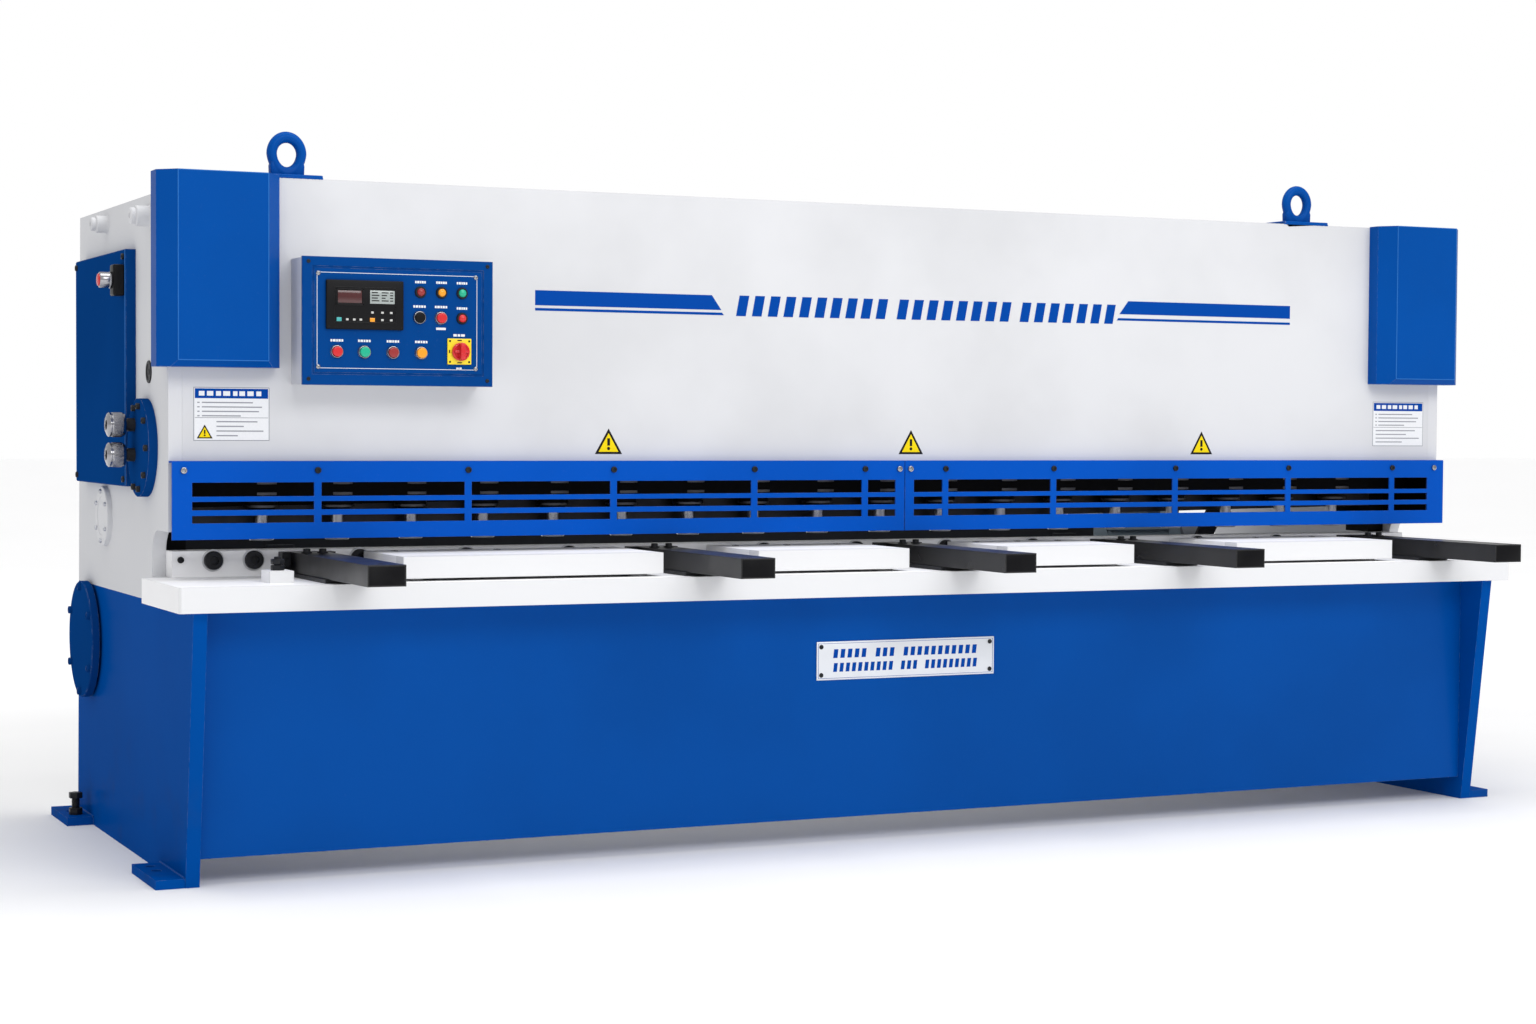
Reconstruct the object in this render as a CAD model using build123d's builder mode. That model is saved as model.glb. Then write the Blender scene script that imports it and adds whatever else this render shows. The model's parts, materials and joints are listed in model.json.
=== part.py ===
"""Guillotine plate shear: a mechanically driven sheet-metal shearing machine.

Frame: origin at floor level, at the centre of the four anchor holes. +X runs along the
blades, to the right as the operator stands. -Y is the operator's side. +Z is up.
All sizes are in millimetres.
"""
from build123d import *
import math
import os

os.makedirs("parts", exist_ok=True)

# ---------------------------------------------------------------- driving dimensions
LENGTH = 3400.0            # over the outer faces of the two side plates
SIDE_T = 30.0              # side plate thickness
HALF = LENGTH / 2
INNER = HALF - SIDE_T      # inner face of a side plate
BODY_TOP = 1502.0          # top edge of the upper front panel
TABLE_Z = 581.0            # underside of the table plate
TABLE_T = 54.0             # table plate thickness
TABLE_FRONT = -698.0       # front edge of the table plate
TABLE_OVERHANG = 35.0      # table plate past each side plate
BED_FRONT = -345.0         # front face of the fixed bed beam
BED_TOP = 692.0            # cutting level
BLADE_Y = -265.0           # shear plane
BLADE_GAP = 0.2            # gap between the two blades
BLADE_T = 20.0             # blade thickness
BLADE_H = 70.0             # blade height
STROKE = 80.0              # ram travel, down from rest
RAKE = 50.0                # rise of the upper blade over its length
BLADE_OPEN = 22.0          # lowest point of the upper blade above the bed at rest
PANEL_Y = -445.0           # front face of the upper front panel
PANEL_T = 12.0
PANEL_Z = 850.0            # lower edge of the upper front panel
GUARD_Z = (722.0, 890.0)   # lower and upper edges of the finger guard
GUARD_T = 20.0
GUARD_SPLIT = 65.0         # where the two guard panels meet
LOWER_PANEL_Y = -586.0     # front face of the lower front panel
LOWER_PANEL_T = 12.0
LOWER_PANEL_Z = 57.0       # gap under the lower front panel
ANCHOR_Y = 470.0           # anchor holes, front and rear of the origin
ANCHOR_R = 11.0
FOOT_T = 20.0
FOOT_W = 62.0              # how far a foot stands out of its side plate
FOOT_HOLE = 32.0           # from the side plate to the holes of a foot
JACK_R = 10.0              # levelling bolt
SHAFT_Y, SHAFT_Z = -150.0, 1230.0   # eccentric main shaft axis
SHAFT_R = 45.0
ECC_R = 90.0               # eccentric disc
ECC_W = 60.0
YOKE_SLACK = 10.0          # play of an eccentric between the flats of its yoke
GEAR_MODULE = 8.0
GEAR_TEETH, PINION_TEETH = 56, 16
GEAR_W = 60.0
GEAR_DROP = 20.0           # degrees, pinion below the level of the gear
COUNTER_R = 25.0           # countershaft
FLYWHEEL_R, FLYWHEEL_W = 200.0, 70.0
PULLEY_R = 70.0            # motor pulley
BELT_W, BELT_T, BELT_GAP = 60.0, 8.0, 0.3
MOTOR_Y, MOTOR_Z, MOTOR_R = 330.0, 640.0, 105.0
GEAR_X = INNER - 110.0     # middle of the gear and pinion
DRIVE_X = GEAR_X - 145.0   # middle of the belt and flywheel
MOTOR_X = (DRIVE_X - 355.0, DRIVE_X - 65.0)
RUN = 0.05                 # radial clearance of a running fit
SLIDE_GAP = 0.4            # clearance at a sliding face
HOLD_PITCH, HOLD_COUNT = 172.0, 18
HOLD_Y = -305.0            # hold-down axis
HOLD_FOOT_R, HOLD_ROD_R, HOLD_CAN_R = 28.0, 14.0, 36.0
HOLD_FOOT_Z = BED_TOP + 20.0        # underside of a hold-down foot at rest
GAUGE_Y, GAUGE_Z = 150.0, (660.0, 730.0)   # back gauge beam: front face, height
GAUGE_T = 40.0
GAUGE_X = (-INNER + 90.0, MOTOR_X[0] - 60.0)
SCREW_R, SCREW_Z = 16.0, 590.0      # gauge lead screw
SCREW_XS = (GAUGE_X[0] + 280.0, GAUGE_X[1] - 100.0)
ARM_W, ARM_H, ARM_FRONT = 81.0, 44.0, -950.0
ARM_TOP = BED_TOP - 4.0    # support arms end just under the cutting level
BLOCK_Z = (TABLE_Z + TABLE_T + 6.0, BED_TOP - 4.0)   # raised table blocks
COVER_TOP, COVER_Z = 1504.0, 1090.0 # corner covers
BOX_X = (-HALF + 267.0, -HALF + 692.0)      # control box
BOX_Y = (PANEL_Y - 95.0, PANEL_Y)
BOX_Z = (1056.0, 1327.0)
KNOB_Y, KNOB_ZS = -203.0, (900.0, 966.0)
EYE_XS = (-HALF + 268.0, HALF - 438.0)
EYE_R, EYE_HOLE_R, EYE_T = 49.0, 28.0, 26.0

TABLE_TOP = TABLE_Z + TABLE_T
GUARD_Y = PANEL_Y - GUARD_T - 10.0
ECC = STROKE / 2           # eccentricity
CENTRE_D = GEAR_MODULE * (GEAR_TEETH + PINION_TEETH) / 2
COUNTER_Y = SHAFT_Y + CENTRE_D * math.cos(math.radians(GEAR_DROP))
COUNTER_Z = SHAFT_Z - CENTRE_D * math.sin(math.radians(GEAR_DROP))
YOKE_XS = (-7 * HOLD_PITCH, 7 * HOLD_PITCH)   # between two hold-downs
RAM_FRONT = BLADE_Y + BLADE_GAP
RAM_T = 60.0
RAM_BACK = RAM_FRONT + RAM_T


# ---------------------------------------------------------------- small shared builders
def slab(xs, ys, zs, mode=Mode.ADD):
    """A box between two corners."""
    middle = [(a + b) / 2 for a, b in (xs, ys, zs)]
    with Locations(tuple(middle)):
        Box(abs(xs[1] - xs[0]), abs(ys[1] - ys[0]), abs(zs[1] - zs[0]), mode=mode)


def disc_x(xs, y, z, radius, mode=Mode.ADD):
    """A round bar along X."""
    with BuildSketch(Plane.YZ.offset(min(xs))) as profile:
        with Locations((y, z)):
            Circle(radius)
    extrude(profile.sketch, amount=abs(xs[1] - xs[0]), mode=mode)


def disc_y(ys, x, z, radius, mode=Mode.ADD):
    """A round bar along Y."""
    with BuildSketch(Plane.XZ.offset(-max(ys))) as profile:
        with Locations((x, z)):
            Circle(radius)
    extrude(profile.sketch, amount=abs(ys[1] - ys[0]), mode=mode)


def disc_z(zs, x, y, radius, mode=Mode.ADD):
    """A round bar along Z."""
    with BuildSketch(Plane.XY.offset(min(zs))) as profile:
        with Locations((x, y)):
            Circle(radius)
    extrude(profile.sketch, amount=abs(zs[1] - zs[0]), mode=mode)


def profile_x(xs, points, mode=Mode.ADD):
    """A Y-Z outline drawn from x to x."""
    with BuildSketch(Plane.YZ.offset(min(xs))) as profile:
        with BuildLine():
            Polyline(*points, close=True)
        make_face()
    extrude(profile.sketch, amount=abs(xs[1] - xs[0]), mode=mode)


def hex_bar_z(zs, x, y, across_flats):
    """A hexagon bar along Z."""
    with BuildSketch(Plane.XY.offset(min(zs))) as profile:
        with Locations((x, y)):
            RegularPolygon(across_flats / 2, 6, major_radius=False)
    extrude(profile.sketch, amount=abs(zs[1] - zs[0]))


def save(part, name):
    """Label a finished piece and write it."""
    part.label = name
    export_step(part, f"parts/{name}.step")


# ---------------------------------------------------------------- side plates and feet
THROAT_Y = -290.0          # back of the throat notch
THROAT_Z = TABLE_TOP + 103.0
THROAT_R = 55.0            # rounded inner corner of the throat
SIDE_TOP = BODY_TOP - 34.0
SIDE_OUTLINE = (
    (-597.0, 0.0), (-671.0, TABLE_Z), (BED_FRONT, TABLE_Z), (BED_FRONT, TABLE_TOP),
    (THROAT_Y, TABLE_TOP), (THROAT_Y, THROAT_Z), (PANEL_Y, THROAT_Z), (PANEL_Y, SIDE_TOP),
    (500.0, SIDE_TOP), (546.0, 0.0),
)
FEET = ((-596.0, -365.0, -410.0), (358.0, 565.0, 410.0))   # front, back, jack bolt y

for side, name in ((-1, "left_side_plate"), (1, "right_side_plate")):
    with BuildPart() as side_plate:
        profile_x((side * INNER, side * HALF), SIDE_OUTLINE)
        for front, back, jack_y in FEET:
            slab((side * HALF, side * (HALF + FOOT_W)), (front, back), (0, FOOT_T))
            anchor_y = math.copysign(ANCHOR_Y, front)
            disc_z((-1, FOOT_T + 1), side * (HALF + FOOT_HOLE), anchor_y, ANCHOR_R, Mode.SUBTRACT)
            disc_z((-1, FOOT_T + 1), side * (HALF + FOOT_HOLE), jack_y, JACK_R, Mode.SUBTRACT)
        throat_corner = side_plate.edges().filter_by(Axis.X).filter_by(
            lambda e: abs(e.center().Y - THROAT_Y) < 1 and abs(e.center().Z - THROAT_Z) < 1)
        fillet(throat_corner, radius=THROAT_R)
    save(side_plate.part, name)

with BuildPart() as levelling_bolts:
    # the front jack holes are left empty
    for side in (-1, 1):
        x = side * (HALF + FOOT_HOLE)
        disc_z((0, 62), x, FEET[1][2], JACK_R)
        hex_bar_z((FOOT_T, FOOT_T + 14), x, FEET[1][2], 30)
        hex_bar_z((60, 74), x, FEET[1][2], 30)
save(levelling_bolts.part, "levelling_bolts")

# ---------------------------------------------------------------- lower front and rear frame
with BuildPart() as lower_front_panel:
    slab((-INNER, INNER), (LOWER_PANEL_Y, LOWER_PANEL_Y + LOWER_PANEL_T),
         (LOWER_PANEL_Z, TABLE_Z))
    slab((-INNER, INNER), (LOWER_PANEL_Y + LOWER_PANEL_T, LOWER_PANEL_Y + 80),
         (LOWER_PANEL_Z, LOWER_PANEL_Z + 12))
save(lower_front_panel.part, "lower_front_panel")

REAR_Y, REAR_Z = (380.0, 500.0), (57.0, 220.0)
TOP_BEAM_Y, TOP_BEAM_Z = (420.0, 480.0), (1330.0, 1440.0)
SHELF_Z = MOTOR_Z - MOTOR_R
RAIL_Z = (520.0, 545.0)
TUBE_WALL = 10.0


def box_tube(ys, zs):
    """A square tube from one side plate to the other."""
    slab((-INNER, INNER), ys, zs)
    slab((-INNER - 1, INNER + 1), (ys[0] + TUBE_WALL, ys[1] - TUBE_WALL),
         (zs[0] + TUBE_WALL, zs[1] - TUBE_WALL), Mode.SUBTRACT)


with BuildPart() as rear_beams:
    box_tube(REAR_Y, REAR_Z)
    box_tube(TOP_BEAM_Y, TOP_BEAM_Z)
save(rear_beams.part, "rear_beams")

with BuildPart() as motor_stand:
    slab((MOTOR_X[0] - 20, INNER), (220, REAR_Y[1]), (SHELF_Z - 16, SHELF_Z))
    for x in (MOTOR_X[0], INNER - 20):
        slab((x - 8, x + 8), REAR_Y, (REAR_Z[1], SHELF_Z - 15))
save(motor_stand.part, "motor_stand")

# ---------------------------------------------------------------- table and bed
with BuildPart() as table_plate:
    slab((-HALF - TABLE_OVERHANG, HALF + TABLE_OVERHANG), (TABLE_FRONT, BED_FRONT),
         (TABLE_Z, TABLE_TOP))
    table_front_edges = table_plate.edges().filter_by(Axis.Z).group_by(Axis.Y)[0]
    chamfer(table_front_edges, length=4)
save(table_plate.part, "table_plate")

BED_BOLT_Z = BED_TOP - 21.0
BED_BOLT_R = 20.5
REBATE_Z = BED_TOP - BLADE_H
SHELF_LOW = TABLE_Z - 81.0          # stiffening shelf under the table plate
with BuildPart() as bed_beam:
    slab((-INNER, INNER), (BED_FRONT, BLADE_Y), (TABLE_TOP, BED_TOP))
    slab((-INNER, INNER), (BED_FRONT + 1, BLADE_Y), (SHELF_LOW - 80, TABLE_TOP))
    slab((-INNER, INNER), (BLADE_Y - BLADE_T, BLADE_Y + 1), (REBATE_Z, BED_TOP + 1),
         Mode.SUBTRACT)
    slab((-INNER, INNER), (LOWER_PANEL_Y + LOWER_PANEL_T, BED_FRONT + 1),
         (SHELF_LOW, SHELF_LOW + 30))
save(bed_beam.part, "bed_beam")

with BuildPart() as lower_blade:
    slab((-INNER + 10, INNER - 10), (BLADE_Y - BLADE_T, BLADE_Y), (REBATE_Z, BED_TOP))
save(lower_blade.part, "lower_blade")

ARM_XS = (-HALF + 325.5, -548.5, 106.0, 733.5, HALF - 190.0)
BLOCK_XS = ((-1246.0, -643.0), (-408.0, -19.0), (246.0, 603.0), (905.0, 1387.0))
BLOCK_YS = (-655.0, BED_FRONT - 20)
STOP_X = -HALF + 202.0
STOP_TOP = TABLE_TOP + 25.0
BRACKET_W = 120.0
with BuildPart() as table_blocks:
    for x0, x1 in BLOCK_XS:
        slab((x0, x1), BLOCK_YS, BLOCK_Z)
        for x in (x0 + 40, x1 - 40):
            for y in (-600, -420):
                disc_z((TABLE_TOP, BLOCK_Z[0] + 1), x, y, 22)
        for x in (x0 + 60, (x0 + x1) / 2, x1 - 60):
            disc_z((BLOCK_Z[1] - 12, BLOCK_Z[1] + 1), x, -400, 9, Mode.SUBTRACT)
    slab((STOP_X - 26, STOP_X + 26), (-610, -540), (TABLE_TOP, STOP_TOP))
save(table_blocks.part, "table_blocks")

# socket bolts through the bed's front face, left out where an arm bracket covers them
bolt_xs = [-HALF + 120, -HALF + 210, HALF - 120] + [-1250 + 250 * i for i in range(11)]
bolt_xs = [x for x in bolt_xs if all(abs(x - arm) > BRACKET_W / 2 + 20 for arm in ARM_XS)]
with BuildPart() as bed_bolts:
    for x in bolt_xs:
        disc_y((BED_FRONT - 14, BED_FRONT), x, BED_BOLT_Z, BED_BOLT_R)
        with BuildSketch(Plane.XZ.offset(-BED_FRONT + 14)):
            with Locations((x, BED_BOLT_Z)):
                RegularPolygon(7, 6, major_radius=False)
        extrude(amount=-9, mode=Mode.SUBTRACT)
    # threaded stud and lock nuts on the side stop
    disc_z((STOP_TOP, STOP_TOP + 29), STOP_X, -575, 8)
    hex_bar_z((STOP_TOP, STOP_TOP + 11), STOP_X, -575, 26)
    hex_bar_z((STOP_TOP + 13, STOP_TOP + 24), STOP_X, -575, 26)
save(bed_bolts.part, "bed_bolts")

ARM_BACK = BED_FRONT - 34.0
with BuildPart() as support_arms:
    for x in ARM_XS:
        slab((x - ARM_W / 2, x + ARM_W / 2), (ARM_FRONT, ARM_BACK), (ARM_TOP - ARM_H, ARM_TOP))
        disc_z((ARM_TOP - 20, ARM_TOP + 1), x, ARM_FRONT + 45, 7, Mode.SUBTRACT)
save(support_arms.part, "support_arms")

with BuildPart() as arm_brackets:
    for x in ARM_XS:
        slab((x - 46, x + 46), (TABLE_FRONT + 30, BED_FRONT - 30), (TABLE_TOP, ARM_TOP - ARM_H))
        slab((x - BRACKET_W / 2, x + BRACKET_W / 2), (ARM_BACK, BED_FRONT), (TABLE_TOP, ARM_TOP))
        for side in (-1, 1):
            disc_y((ARM_BACK - 9, ARM_BACK), x + side * 51, ARM_TOP - 24, 8)
save(arm_brackets.part, "arm_brackets")

# ---------------------------------------------------------------- upper front panel and guard
with BuildPart() as upper_front_panel:
    slab((-INNER, INNER), (PANEL_Y, PANEL_Y + PANEL_T), (PANEL_Z, BODY_TOP))
    slab((-INNER, INNER), (PANEL_Y + PANEL_T - 1, PANEL_Y + 85), (BODY_TOP - 12, BODY_TOP))
    for side in (-1, 1):
        # edge strips that lap over the front edge of each side plate
        slab((side * INNER, side * HALF), (PANEL_Y, PANEL_Y + PANEL_T + 70),
             (SIDE_TOP, BODY_TOP))
save(upper_front_panel.part, "upper_front_panel")

HOLD_BEAM_Y, HOLD_BEAM_Z = (-352.0, BLADE_Y - 2.0), (800.0, 960.0)
hold_xs = [(i - (HOLD_COUNT - 1) / 2) * HOLD_PITCH for i in range(HOLD_COUNT)]
with BuildPart() as hold_down_beam:
    slab((-INNER, INNER), HOLD_BEAM_Y, HOLD_BEAM_Z)
    slab((-INNER, INNER), (PANEL_Y + PANEL_T, HOLD_BEAM_Y[0] + 1),
         (HOLD_BEAM_Z[1] - 20, HOLD_BEAM_Z[1]))
    for x in hold_xs:
        disc_z((HOLD_BEAM_Z[0] - 1, HOLD_BEAM_Z[1] + 1), x, HOLD_Y, HOLD_CAN_R, Mode.SUBTRACT)
save(hold_down_beam.part, "hold_down_beam")

with BuildPart() as hold_down_cylinders:
    for x in hold_xs:
        disc_z((HOLD_BEAM_Z[0] - 30, HOLD_BEAM_Z[1] + 40), x, HOLD_Y, HOLD_CAN_R)
        disc_z((HOLD_BEAM_Z[0] - 31, HOLD_BEAM_Z[1] + 20), x, HOLD_Y, HOLD_ROD_R + RUN,
               Mode.SUBTRACT)
save(hold_down_cylinders.part, "hold_down_cylinders")

HOLD_ROD_TOP = HOLD_BEAM_Z[1] - 5
with BuildPart() as hold_down_feet:
    for x in hold_xs:
        disc_z((HOLD_FOOT_Z, HOLD_FOOT_Z + 30), x, HOLD_Y, HOLD_FOOT_R)
        disc_z((HOLD_FOOT_Z + 29, HOLD_ROD_TOP), x, HOLD_Y, HOLD_ROD_R)
save(hold_down_feet.part, "hold_down_feet")

WINDOW_ROWS = ((814.0, 844.0), (785.0, 803.0), (757.0, 773.0))
GUARD_PANELS = {
    "guard_left": (-HALF, GUARD_SPLIT, (-HALF + 44.0, -1382.0, -1039.0, -690.0, -335.0, -43.0, 40.0)),
    "guard_right": (GUARD_SPLIT, HALF, (90.0, 177.0, 483.0, 843.0, 1193.0, 1528.0, HALF - 54.0)),
}
POST_W = 16.0
for name, (x0, x1, stops) in GUARD_PANELS.items():
    with BuildPart() as guard:
        slab((x0 + 1, x1 - 1), (GUARD_Y, GUARD_Y + 4), GUARD_Z)
        slab((x0 + 1, x1 - 1), (GUARD_Y + 3, PANEL_Y), (GUARD_Z[1] - 4, GUARD_Z[1]))
        for i in range(len(stops) - 1):
            left = stops[i] + (POST_W / 2 if i else 0)
            right = stops[i + 1] - (POST_W / 2 if i < len(stops) - 2 else 0)
            for row in WINDOW_ROWS:
                slab((left, right), (GUARD_Y - 1, GUARD_Y + 5), row, Mode.SUBTRACT)
        for stop in stops[1:-1]:
            # stand-off ribs behind the posts hold the guard off the panel
            slab((stop - 6, stop + 6), (GUARD_Y + 4, PANEL_Y), (PANEL_Z + 2, GUARD_Z[1] - 3))
    save(guard.part, name)

GUARD_SCREW_XS = (-HALF + 26.0, -1382.0, -1039.0, -690.0, -335.0, -43.0, 50.0, 80.0,
                  177.0, 483.0, 843.0, 1193.0, 1528.0, HALF - 34.0)
# ---------------------------------------------------------------- corner covers and eyes
COVER_HALF = (HALF - 232.0, HALF + 33.0)
COVER_Y = -520.0
for side, name in ((-1, "left_top_cover"), (1, "right_top_cover")):
    with BuildPart() as cover:
        near, far = COVER_HALF
        outline = (
            (side * near, PANEL_Y), (side * near, -480.0), (side * (near + 34), COVER_Y),
            (side * (far - 38), COVER_Y), (side * far, -480.0), (side * far, PANEL_Y + 14),
            (side * HALF, PANEL_Y + 14), (side * HALF, PANEL_Y),
        )
        with BuildSketch(Plane.XY.offset(COVER_Z)):
            with BuildLine():
                Polyline(*outline, close=True)
            make_face()
        extrude(amount=COVER_TOP - COVER_Z)
        lower_edge = cover.edges().filter_by(Axis.X).group_by(Axis.Z)[0].sort_by(Axis.Y)[0]
        chamfer(lower_edge, length=14)
        slab((side * (near + 6), side * HALF), (-480.0, PANEL_Y + 1),
             (COVER_Z + 20, COVER_TOP - 6), Mode.SUBTRACT)
    save(cover.part, name)

with BuildPart() as lifting_eyes:
    for x in EYE_XS:
        slab((x - 70, x + 70), (PANEL_Y, PANEL_Y + 84), (BODY_TOP, BODY_TOP + 8))
        with BuildSketch(Plane.XZ.offset(-PANEL_Y + EYE_T / 2 - 42)):
            with Locations((x, BODY_TOP + 104 - EYE_R)):
                Circle(EYE_R)
            with Locations((x, BODY_TOP + 30)):
                Rectangle(64, 56)
            with Locations((x, BODY_TOP + 108 - EYE_R)):
                Circle(EYE_HOLE_R, mode=Mode.SUBTRACT)
        extrude(amount=-EYE_T)
save(lifting_eyes.part, "lifting_eyes")

# ---------------------------------------------------------------- ram, blades and guides
RAM_X = INNER - 50.0       # half length of the ram
RAM_TOP = 980.0
RAM_LOW = BED_TOP + BLADE_OPEN      # lower edge of the ram and blade at the left end
FLANGE_X, FLANGE_BACK = RAM_X - 120.0, -120.0
YOKE_W = ECC_W + 20.0
YOKE_WALL = 25.0
WINDOW_Z = SHAFT_Z + ECC   # middle of a yoke window at rest
WINDOW_HALF_Z = ECC_R + YOKE_SLACK
WINDOW_HALF_Y = ECC_R + ECC + 1.0


def raked_bar(y_front, thick, low, high, half, mode=Mode.ADD):
    """A bar whose edges rise by the rake, between two heights over the lower edge."""
    slope = RAKE / RAM_X / 2
    with BuildSketch(Plane.XZ.offset(-y_front - thick)) as profile:
        with BuildLine():
            Polyline((-half, low + slope * (RAM_X - half)), (half, low + slope * (RAM_X + half)),
                     (half, high + slope * (RAM_X + half)), (-half, high + slope * (RAM_X - half)),
                     close=True)
        make_face()
    extrude(profile.sketch, amount=thick, mode=mode)


with BuildPart() as ram:
    with BuildSketch(Plane.XZ.offset(-RAM_BACK)):
        with BuildLine():
            Polyline((-RAM_X, RAM_LOW), (RAM_X, RAM_LOW + RAKE), (RAM_X, RAM_TOP),
                     (-RAM_X, RAM_TOP), close=True)
        make_face()
    extrude(amount=RAM_T)
    raked_bar(RAM_FRONT - 1, BLADE_T + 1, RAM_LOW - 1, RAM_LOW + BLADE_H, RAM_X + 1,
              Mode.SUBTRACT)
    slab((-FLANGE_X, FLANGE_X), (RAM_BACK - 1, FLANGE_BACK), (RAM_TOP - 30, RAM_TOP))
    for x in YOKE_XS:
        wide = (x - YOKE_W / 2, x + YOKE_W / 2)
        yoke_y = (SHAFT_Y - WINDOW_HALF_Y - YOKE_WALL, SHAFT_Y + WINDOW_HALF_Y + YOKE_WALL)
        slab(wide, (RAM_FRONT, FLANGE_BACK), (RAM_TOP - 1, WINDOW_Z - WINDOW_HALF_Z))
        slab(wide, yoke_y, (WINDOW_Z - WINDOW_HALF_Z - 60, WINDOW_Z + WINDOW_HALF_Z + 40))
        slab((wide[0] - 1, wide[1] + 1), (SHAFT_Y - WINDOW_HALF_Y, SHAFT_Y + WINDOW_HALF_Y),
             (WINDOW_Z - WINDOW_HALF_Z, WINDOW_Z + WINDOW_HALF_Z), Mode.SUBTRACT)
save(ram.part, "ram")

with BuildPart() as upper_blade:
    raked_bar(RAM_FRONT, BLADE_T, RAM_LOW, RAM_LOW + BLADE_H, RAM_X)
save(upper_blade.part, "upper_blade")

GUIDE_Z = (740.0, RAM_TOP - 10)
with BuildPart() as ram_guides:
    for side in (-1, 1):
        # the outer slab comes down to the bed and closes the end of the throat
        slab((side * (RAM_X + SLIDE_GAP), side * INNER), (RAM_FRONT + 2, RAM_BACK + 40),
             (BED_TOP, GUIDE_Z[1]))
        slab((side * (RAM_X - 60), side * (RAM_X + 1)), (RAM_BACK + SLIDE_GAP, RAM_BACK + 40),
             GUIDE_Z)
save(ram_guides.part, "ram_guides")

# ---------------------------------------------------------------- eccentric drive
HOUSING_X = INNER - 70.0   # inner face of a bearing housing
BRACKET_X = (DRIVE_X - 85.0, DRIVE_X - 55.0)
BELT_X = (DRIVE_X - BELT_W / 2, DRIVE_X + BELT_W / 2)


def gear_outline(teeth, phase):
    """A spur gear outline with straight-flanked teeth, in the plane of its sketch."""
    pitch_r = GEAR_MODULE * teeth / 2
    tip_r = pitch_r + 0.9 * GEAR_MODULE
    root_r = pitch_r - 1.15 * GEAR_MODULE
    step = 360.0 / teeth
    points = []
    for i in range(teeth):
        middle = i * step + phase
        for offset, radius in ((-0.34, root_r), (-0.13, tip_r), (0.13, tip_r), (0.34, root_r)):
            angle = math.radians(middle + offset * step)
            points.append((radius * math.cos(angle), radius * math.sin(angle)))
    with BuildLine() as outline:
        Polyline(*points, close=True)
    make_face(outline.edges())


mesh_angle = -GEAR_DROP    # from the gear's centre to the pinion's, in the Y-Z plane
GEAR_FACE = Plane.YZ.offset(GEAR_X - GEAR_W / 2)
with BuildPart() as main_shaft:
    disc_x((-INNER + 10, INNER - 10), SHAFT_Y, SHAFT_Z, SHAFT_R)
    for x in YOKE_XS:
        disc_x((x - ECC_W / 2, x + ECC_W / 2), SHAFT_Y, SHAFT_Z + ECC, ECC_R)
save(main_shaft.part, "main_shaft")

with BuildPart() as main_gear:
    with BuildSketch(GEAR_FACE.shift_origin((GEAR_FACE.origin.X, SHAFT_Y, SHAFT_Z))):
        gear_outline(GEAR_TEETH, mesh_angle)
    extrude(amount=GEAR_W)
    disc_x((GEAR_X - GEAR_W, GEAR_X + GEAR_W), SHAFT_Y, SHAFT_Z, SHAFT_R, Mode.SUBTRACT)
    for x in (GEAR_X - GEAR_W / 2, GEAR_X + GEAR_W / 2 - 18):
        with BuildSketch(Plane.YZ.offset(x)):
            with Locations((SHAFT_Y, SHAFT_Z)):
                Circle(190)
                Circle(80, mode=Mode.SUBTRACT)
        extrude(amount=18, mode=Mode.SUBTRACT)
save(main_gear.part, "main_gear")

with BuildPart() as countershaft:
    disc_x((BRACKET_X[0] - 10, INNER - 10), COUNTER_Y, COUNTER_Z, COUNTER_R)
    with BuildSketch(GEAR_FACE.shift_origin((GEAR_FACE.origin.X, COUNTER_Y, COUNTER_Z))):
        gear_outline(PINION_TEETH, 180 + mesh_angle + 180.0 / PINION_TEETH)
    extrude(amount=GEAR_W)
save(countershaft.part, "countershaft")

with BuildPart() as flywheel:
    rim = (DRIVE_X - FLYWHEEL_W / 2, DRIVE_X + FLYWHEEL_W / 2)
    disc_x(rim, COUNTER_Y, COUNTER_Z, FLYWHEEL_R)
    for x in (rim[0], rim[1] - 22):
        with BuildSketch(Plane.YZ.offset(x)):
            with Locations((COUNTER_Y, COUNTER_Z)):
                Circle(FLYWHEEL_R - 40)
                Circle(60, mode=Mode.SUBTRACT)
        extrude(amount=22, mode=Mode.SUBTRACT)
    disc_x((rim[0] - 1, rim[1] + 1), COUNTER_Y, COUNTER_Z, COUNTER_R + RUN, Mode.SUBTRACT)
save(flywheel.part, "flywheel")

with BuildPart() as bearing_housings:
    for side in (-1, 1):
        disc_x((side * HOUSING_X, side * INNER), SHAFT_Y, SHAFT_Z, SHAFT_R + 35)
        disc_x((side * (HOUSING_X - 1), side * INNER), SHAFT_Y, SHAFT_Z, SHAFT_R + RUN,
               Mode.SUBTRACT)
    disc_x((HOUSING_X, INNER), COUNTER_Y, COUNTER_Z, COUNTER_R + 35)
    disc_x((HOUSING_X - 1, INNER), COUNTER_Y, COUNTER_Z, COUNTER_R + RUN, Mode.SUBTRACT)
    slab(BRACKET_X, (COUNTER_Y - 60, TOP_BEAM_Y[0]), (COUNTER_Z - 60, TOP_BEAM_Z[1]))
    disc_x((BRACKET_X[0] - 1, BRACKET_X[1] + 1), COUNTER_Y, COUNTER_Z, COUNTER_R + RUN,
           Mode.SUBTRACT)
save(bearing_housings.part, "bearing_housings")

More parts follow.
